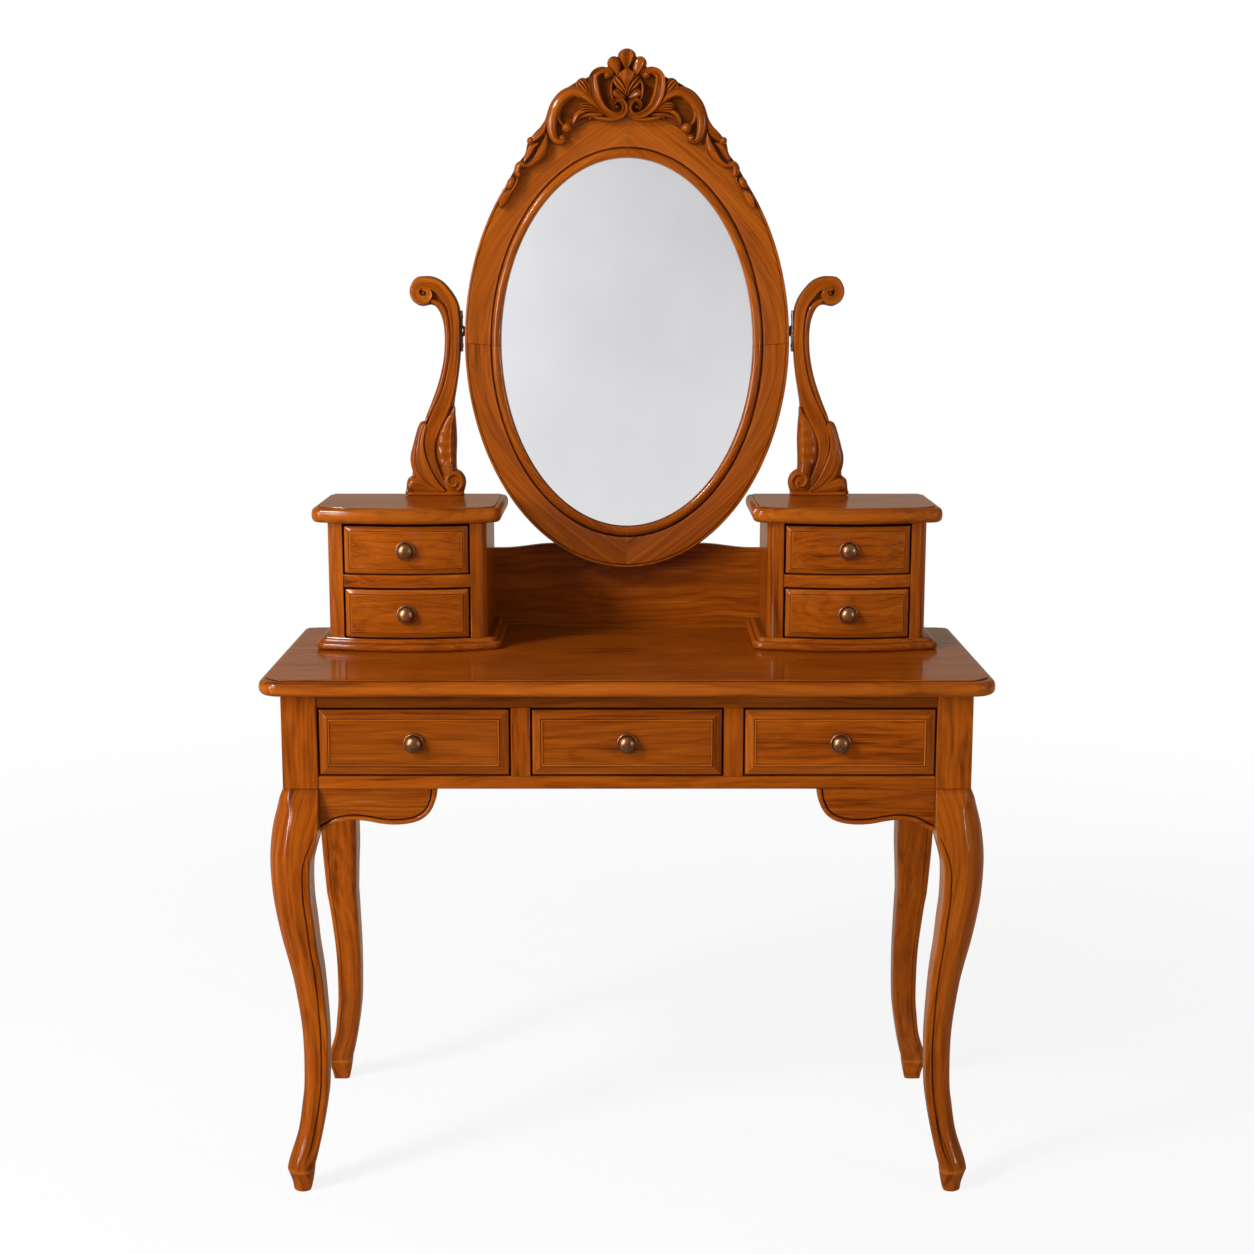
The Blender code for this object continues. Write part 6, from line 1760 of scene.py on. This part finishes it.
    def sky(self, context, stage):
        """Even room light, which the camera sees as white.

        Polished pieces see a dim warm room that is lighter behind the table, and the mirror's glass
        sees a pale oval card in front.
        """
        world = bpy.data.worlds.new("studio")
        context.scene.world = world
        world.use_nodes = True
        tree = world.node_tree
        tree.nodes.clear()
        direction = add(tree, "TexCoord").outputs["Generated"]
        cloud = add(tree, "TexNoise", {"Vector": direction, "Scale": 9.0, "Detail": 1.0, "Roughness": 0.4})
        x, y, z = add(tree, "SeparateXYZ", {"Vector": direction}).outputs
        pale = self.glass_view(tree, x, z, cloud)
        card = self.glass_card(tree, x, y, z)
        front = add(tree, "Math", {0: y, 1: -1.0}, operation="MULTIPLY")
        dusk = add(tree, "MapRange", {
            0: front, 1: 0.85, 2: 0.97, 3: 0.20, 4: 0.02}, interpolation_type="SMOOTHSTEP")
        behind = add(tree, "MapRange", {
            0: y, 1: 0.5, 2: 0.95, 3: 0.0, 4: 0.40}, interpolation_type="SMOOTHSTEP")
        level = add(tree, "Math", {0: dusk, 1: behind}, operation="MAXIMUM")
        level = add(tree, "Mix", {0: card, 2: level, 3: pale}, data_type="FLOAT")
        path = add(tree, "LightPath").outputs
        room = add(tree, "Background", {"Color": WHITE, "Strength": stage.sky})
        white = add(tree, "Background", {"Color": WHITE, "Strength": 1.0})
        tint = add(tree, "Mix", {0: card, 6: WARM, 7: (0.99, 0.99, 1.0, 1)}, data_type="RGBA")
        shiny = add(tree, "Background", {"Color": tint.outputs[2], "Strength": level})
        glossy = add(tree, "Math", {
            0: path["Is Glossy Ray"], 1: path["Is Transmission Ray"]}, operation="MAXIMUM")
        mix = add(tree, "MixShader", {0: glossy, 1: room, 2: shiny})
        mix = add(tree, "MixShader", {0: path["Is Camera Ray"], 1: mix, 2: white})
        add(tree, "OutputWorld", {"Surface": mix})

    def lamp(self, context, name, place, aim, size, power):
        """Soft rectangular lamp that looks from a place at a point and fades towards its edges.

        The fade is a smooth step of the distance from its middle. Its mean over the lamp is one over
        the peak, so that the power stays what it says.
        """
        data = bpy.data.lights.new(name, "AREA")
        data.shape = "RECTANGLE"
        data.size, data.size_y = size
        data.energy = power
        data.use_nodes = True
        tree = data.node_tree
        tree.nodes.clear()
        across = add(tree, "NewGeometry").outputs["Parametric"]
        away = add(tree, "VectorMath", {0: across, 1: (0.5, 0.5, 0.0)}, operation="DISTANCE")
        soft = add(tree, "MapRange", {
            0: away.outputs["Value"], 1: 0.10, 2: 0.52, 3: LAMP_PEAK, 4: 0.0}, interpolation_type="SMOOTHSTEP")
        glow = add(tree, "Emission", {"Color": WHITE, "Strength": soft})
        add(tree, "OutputLight", {"Surface": glow})
        lamp = bpy.data.objects.new(name, data)
        way = np.array(place) - np.array(aim)
        lamp.location = place
        tilt = np.arctan2(np.hypot(way[0], way[1]), way[2])
        lamp.rotation_euler = (tilt, 0.0, np.arctan2(way[1], way[0]) + np.pi / 2)
        context.scene.collection.objects.link(lamp)


class DRESSING_PT_panel(bpy.types.Panel):
    """List the table's pieces and settings in the sidebar"""

    bl_idname = "DRESSING_PT_panel"
    bl_label = "Dressing table"
    bl_space_type = "VIEW_3D"
    bl_region_type = "UI"
    bl_category = "Dressing table"

    def draw(self, context):
        for operator in OPERATORS:
            self.layout.operator(operator.bl_idname)
        for group in ("dressing_wood", "dressing_metal", "dressing_trim", "dressing_stage"):
            settings = getattr(context.scene, group)
            box = self.layout.box()
            for key in settings.__annotations__:
                box.prop(settings, key)


SETTINGS = {
    "dressing_wood": WoodSettings, "dressing_metal": MetalSettings, "dressing_trim": TrimSettings,
    "dressing_stage": StageSettings,
}
OPERATORS = (
    DRESSING_OT_finishes, DRESSING_OT_table_top, DRESSING_OT_case, DRESSING_OT_legs, DRESSING_OT_brackets,
    DRESSING_OT_drawers, DRESSING_OT_cabinets, DRESSING_OT_splash_panel, DRESSING_OT_mirror, DRESSING_OT_crest,
    DRESSING_OT_arms, DRESSING_OT_pivots, DRESSING_OT_stage,
)
CLASSES = (*SETTINGS.values(), *OPERATORS, DRESSING_PT_panel)


def register():
    """Make the classes known and hang the settings on the scene."""
    for cls in CLASSES:
        bpy.utils.register_class(cls)
    for name, group in SETTINGS.items():
        setattr(bpy.types.Scene, name, bpy.props.PointerProperty(type=group))


def unregister():
    """Undo register in the opposite order."""
    for name in SETTINGS:
        delattr(bpy.types.Scene, name)
    for cls in reversed(CLASSES):
        bpy.utils.unregister_class(cls)


def main():
    """Make every piece and the stage."""
    register()
    for operator in OPERATORS:
        group, action = operator.bl_idname.split(".")
        getattr(getattr(bpy.ops, group), action)()
    bpy.context.view_layer.update()


if __name__ == "__main__":
    main()
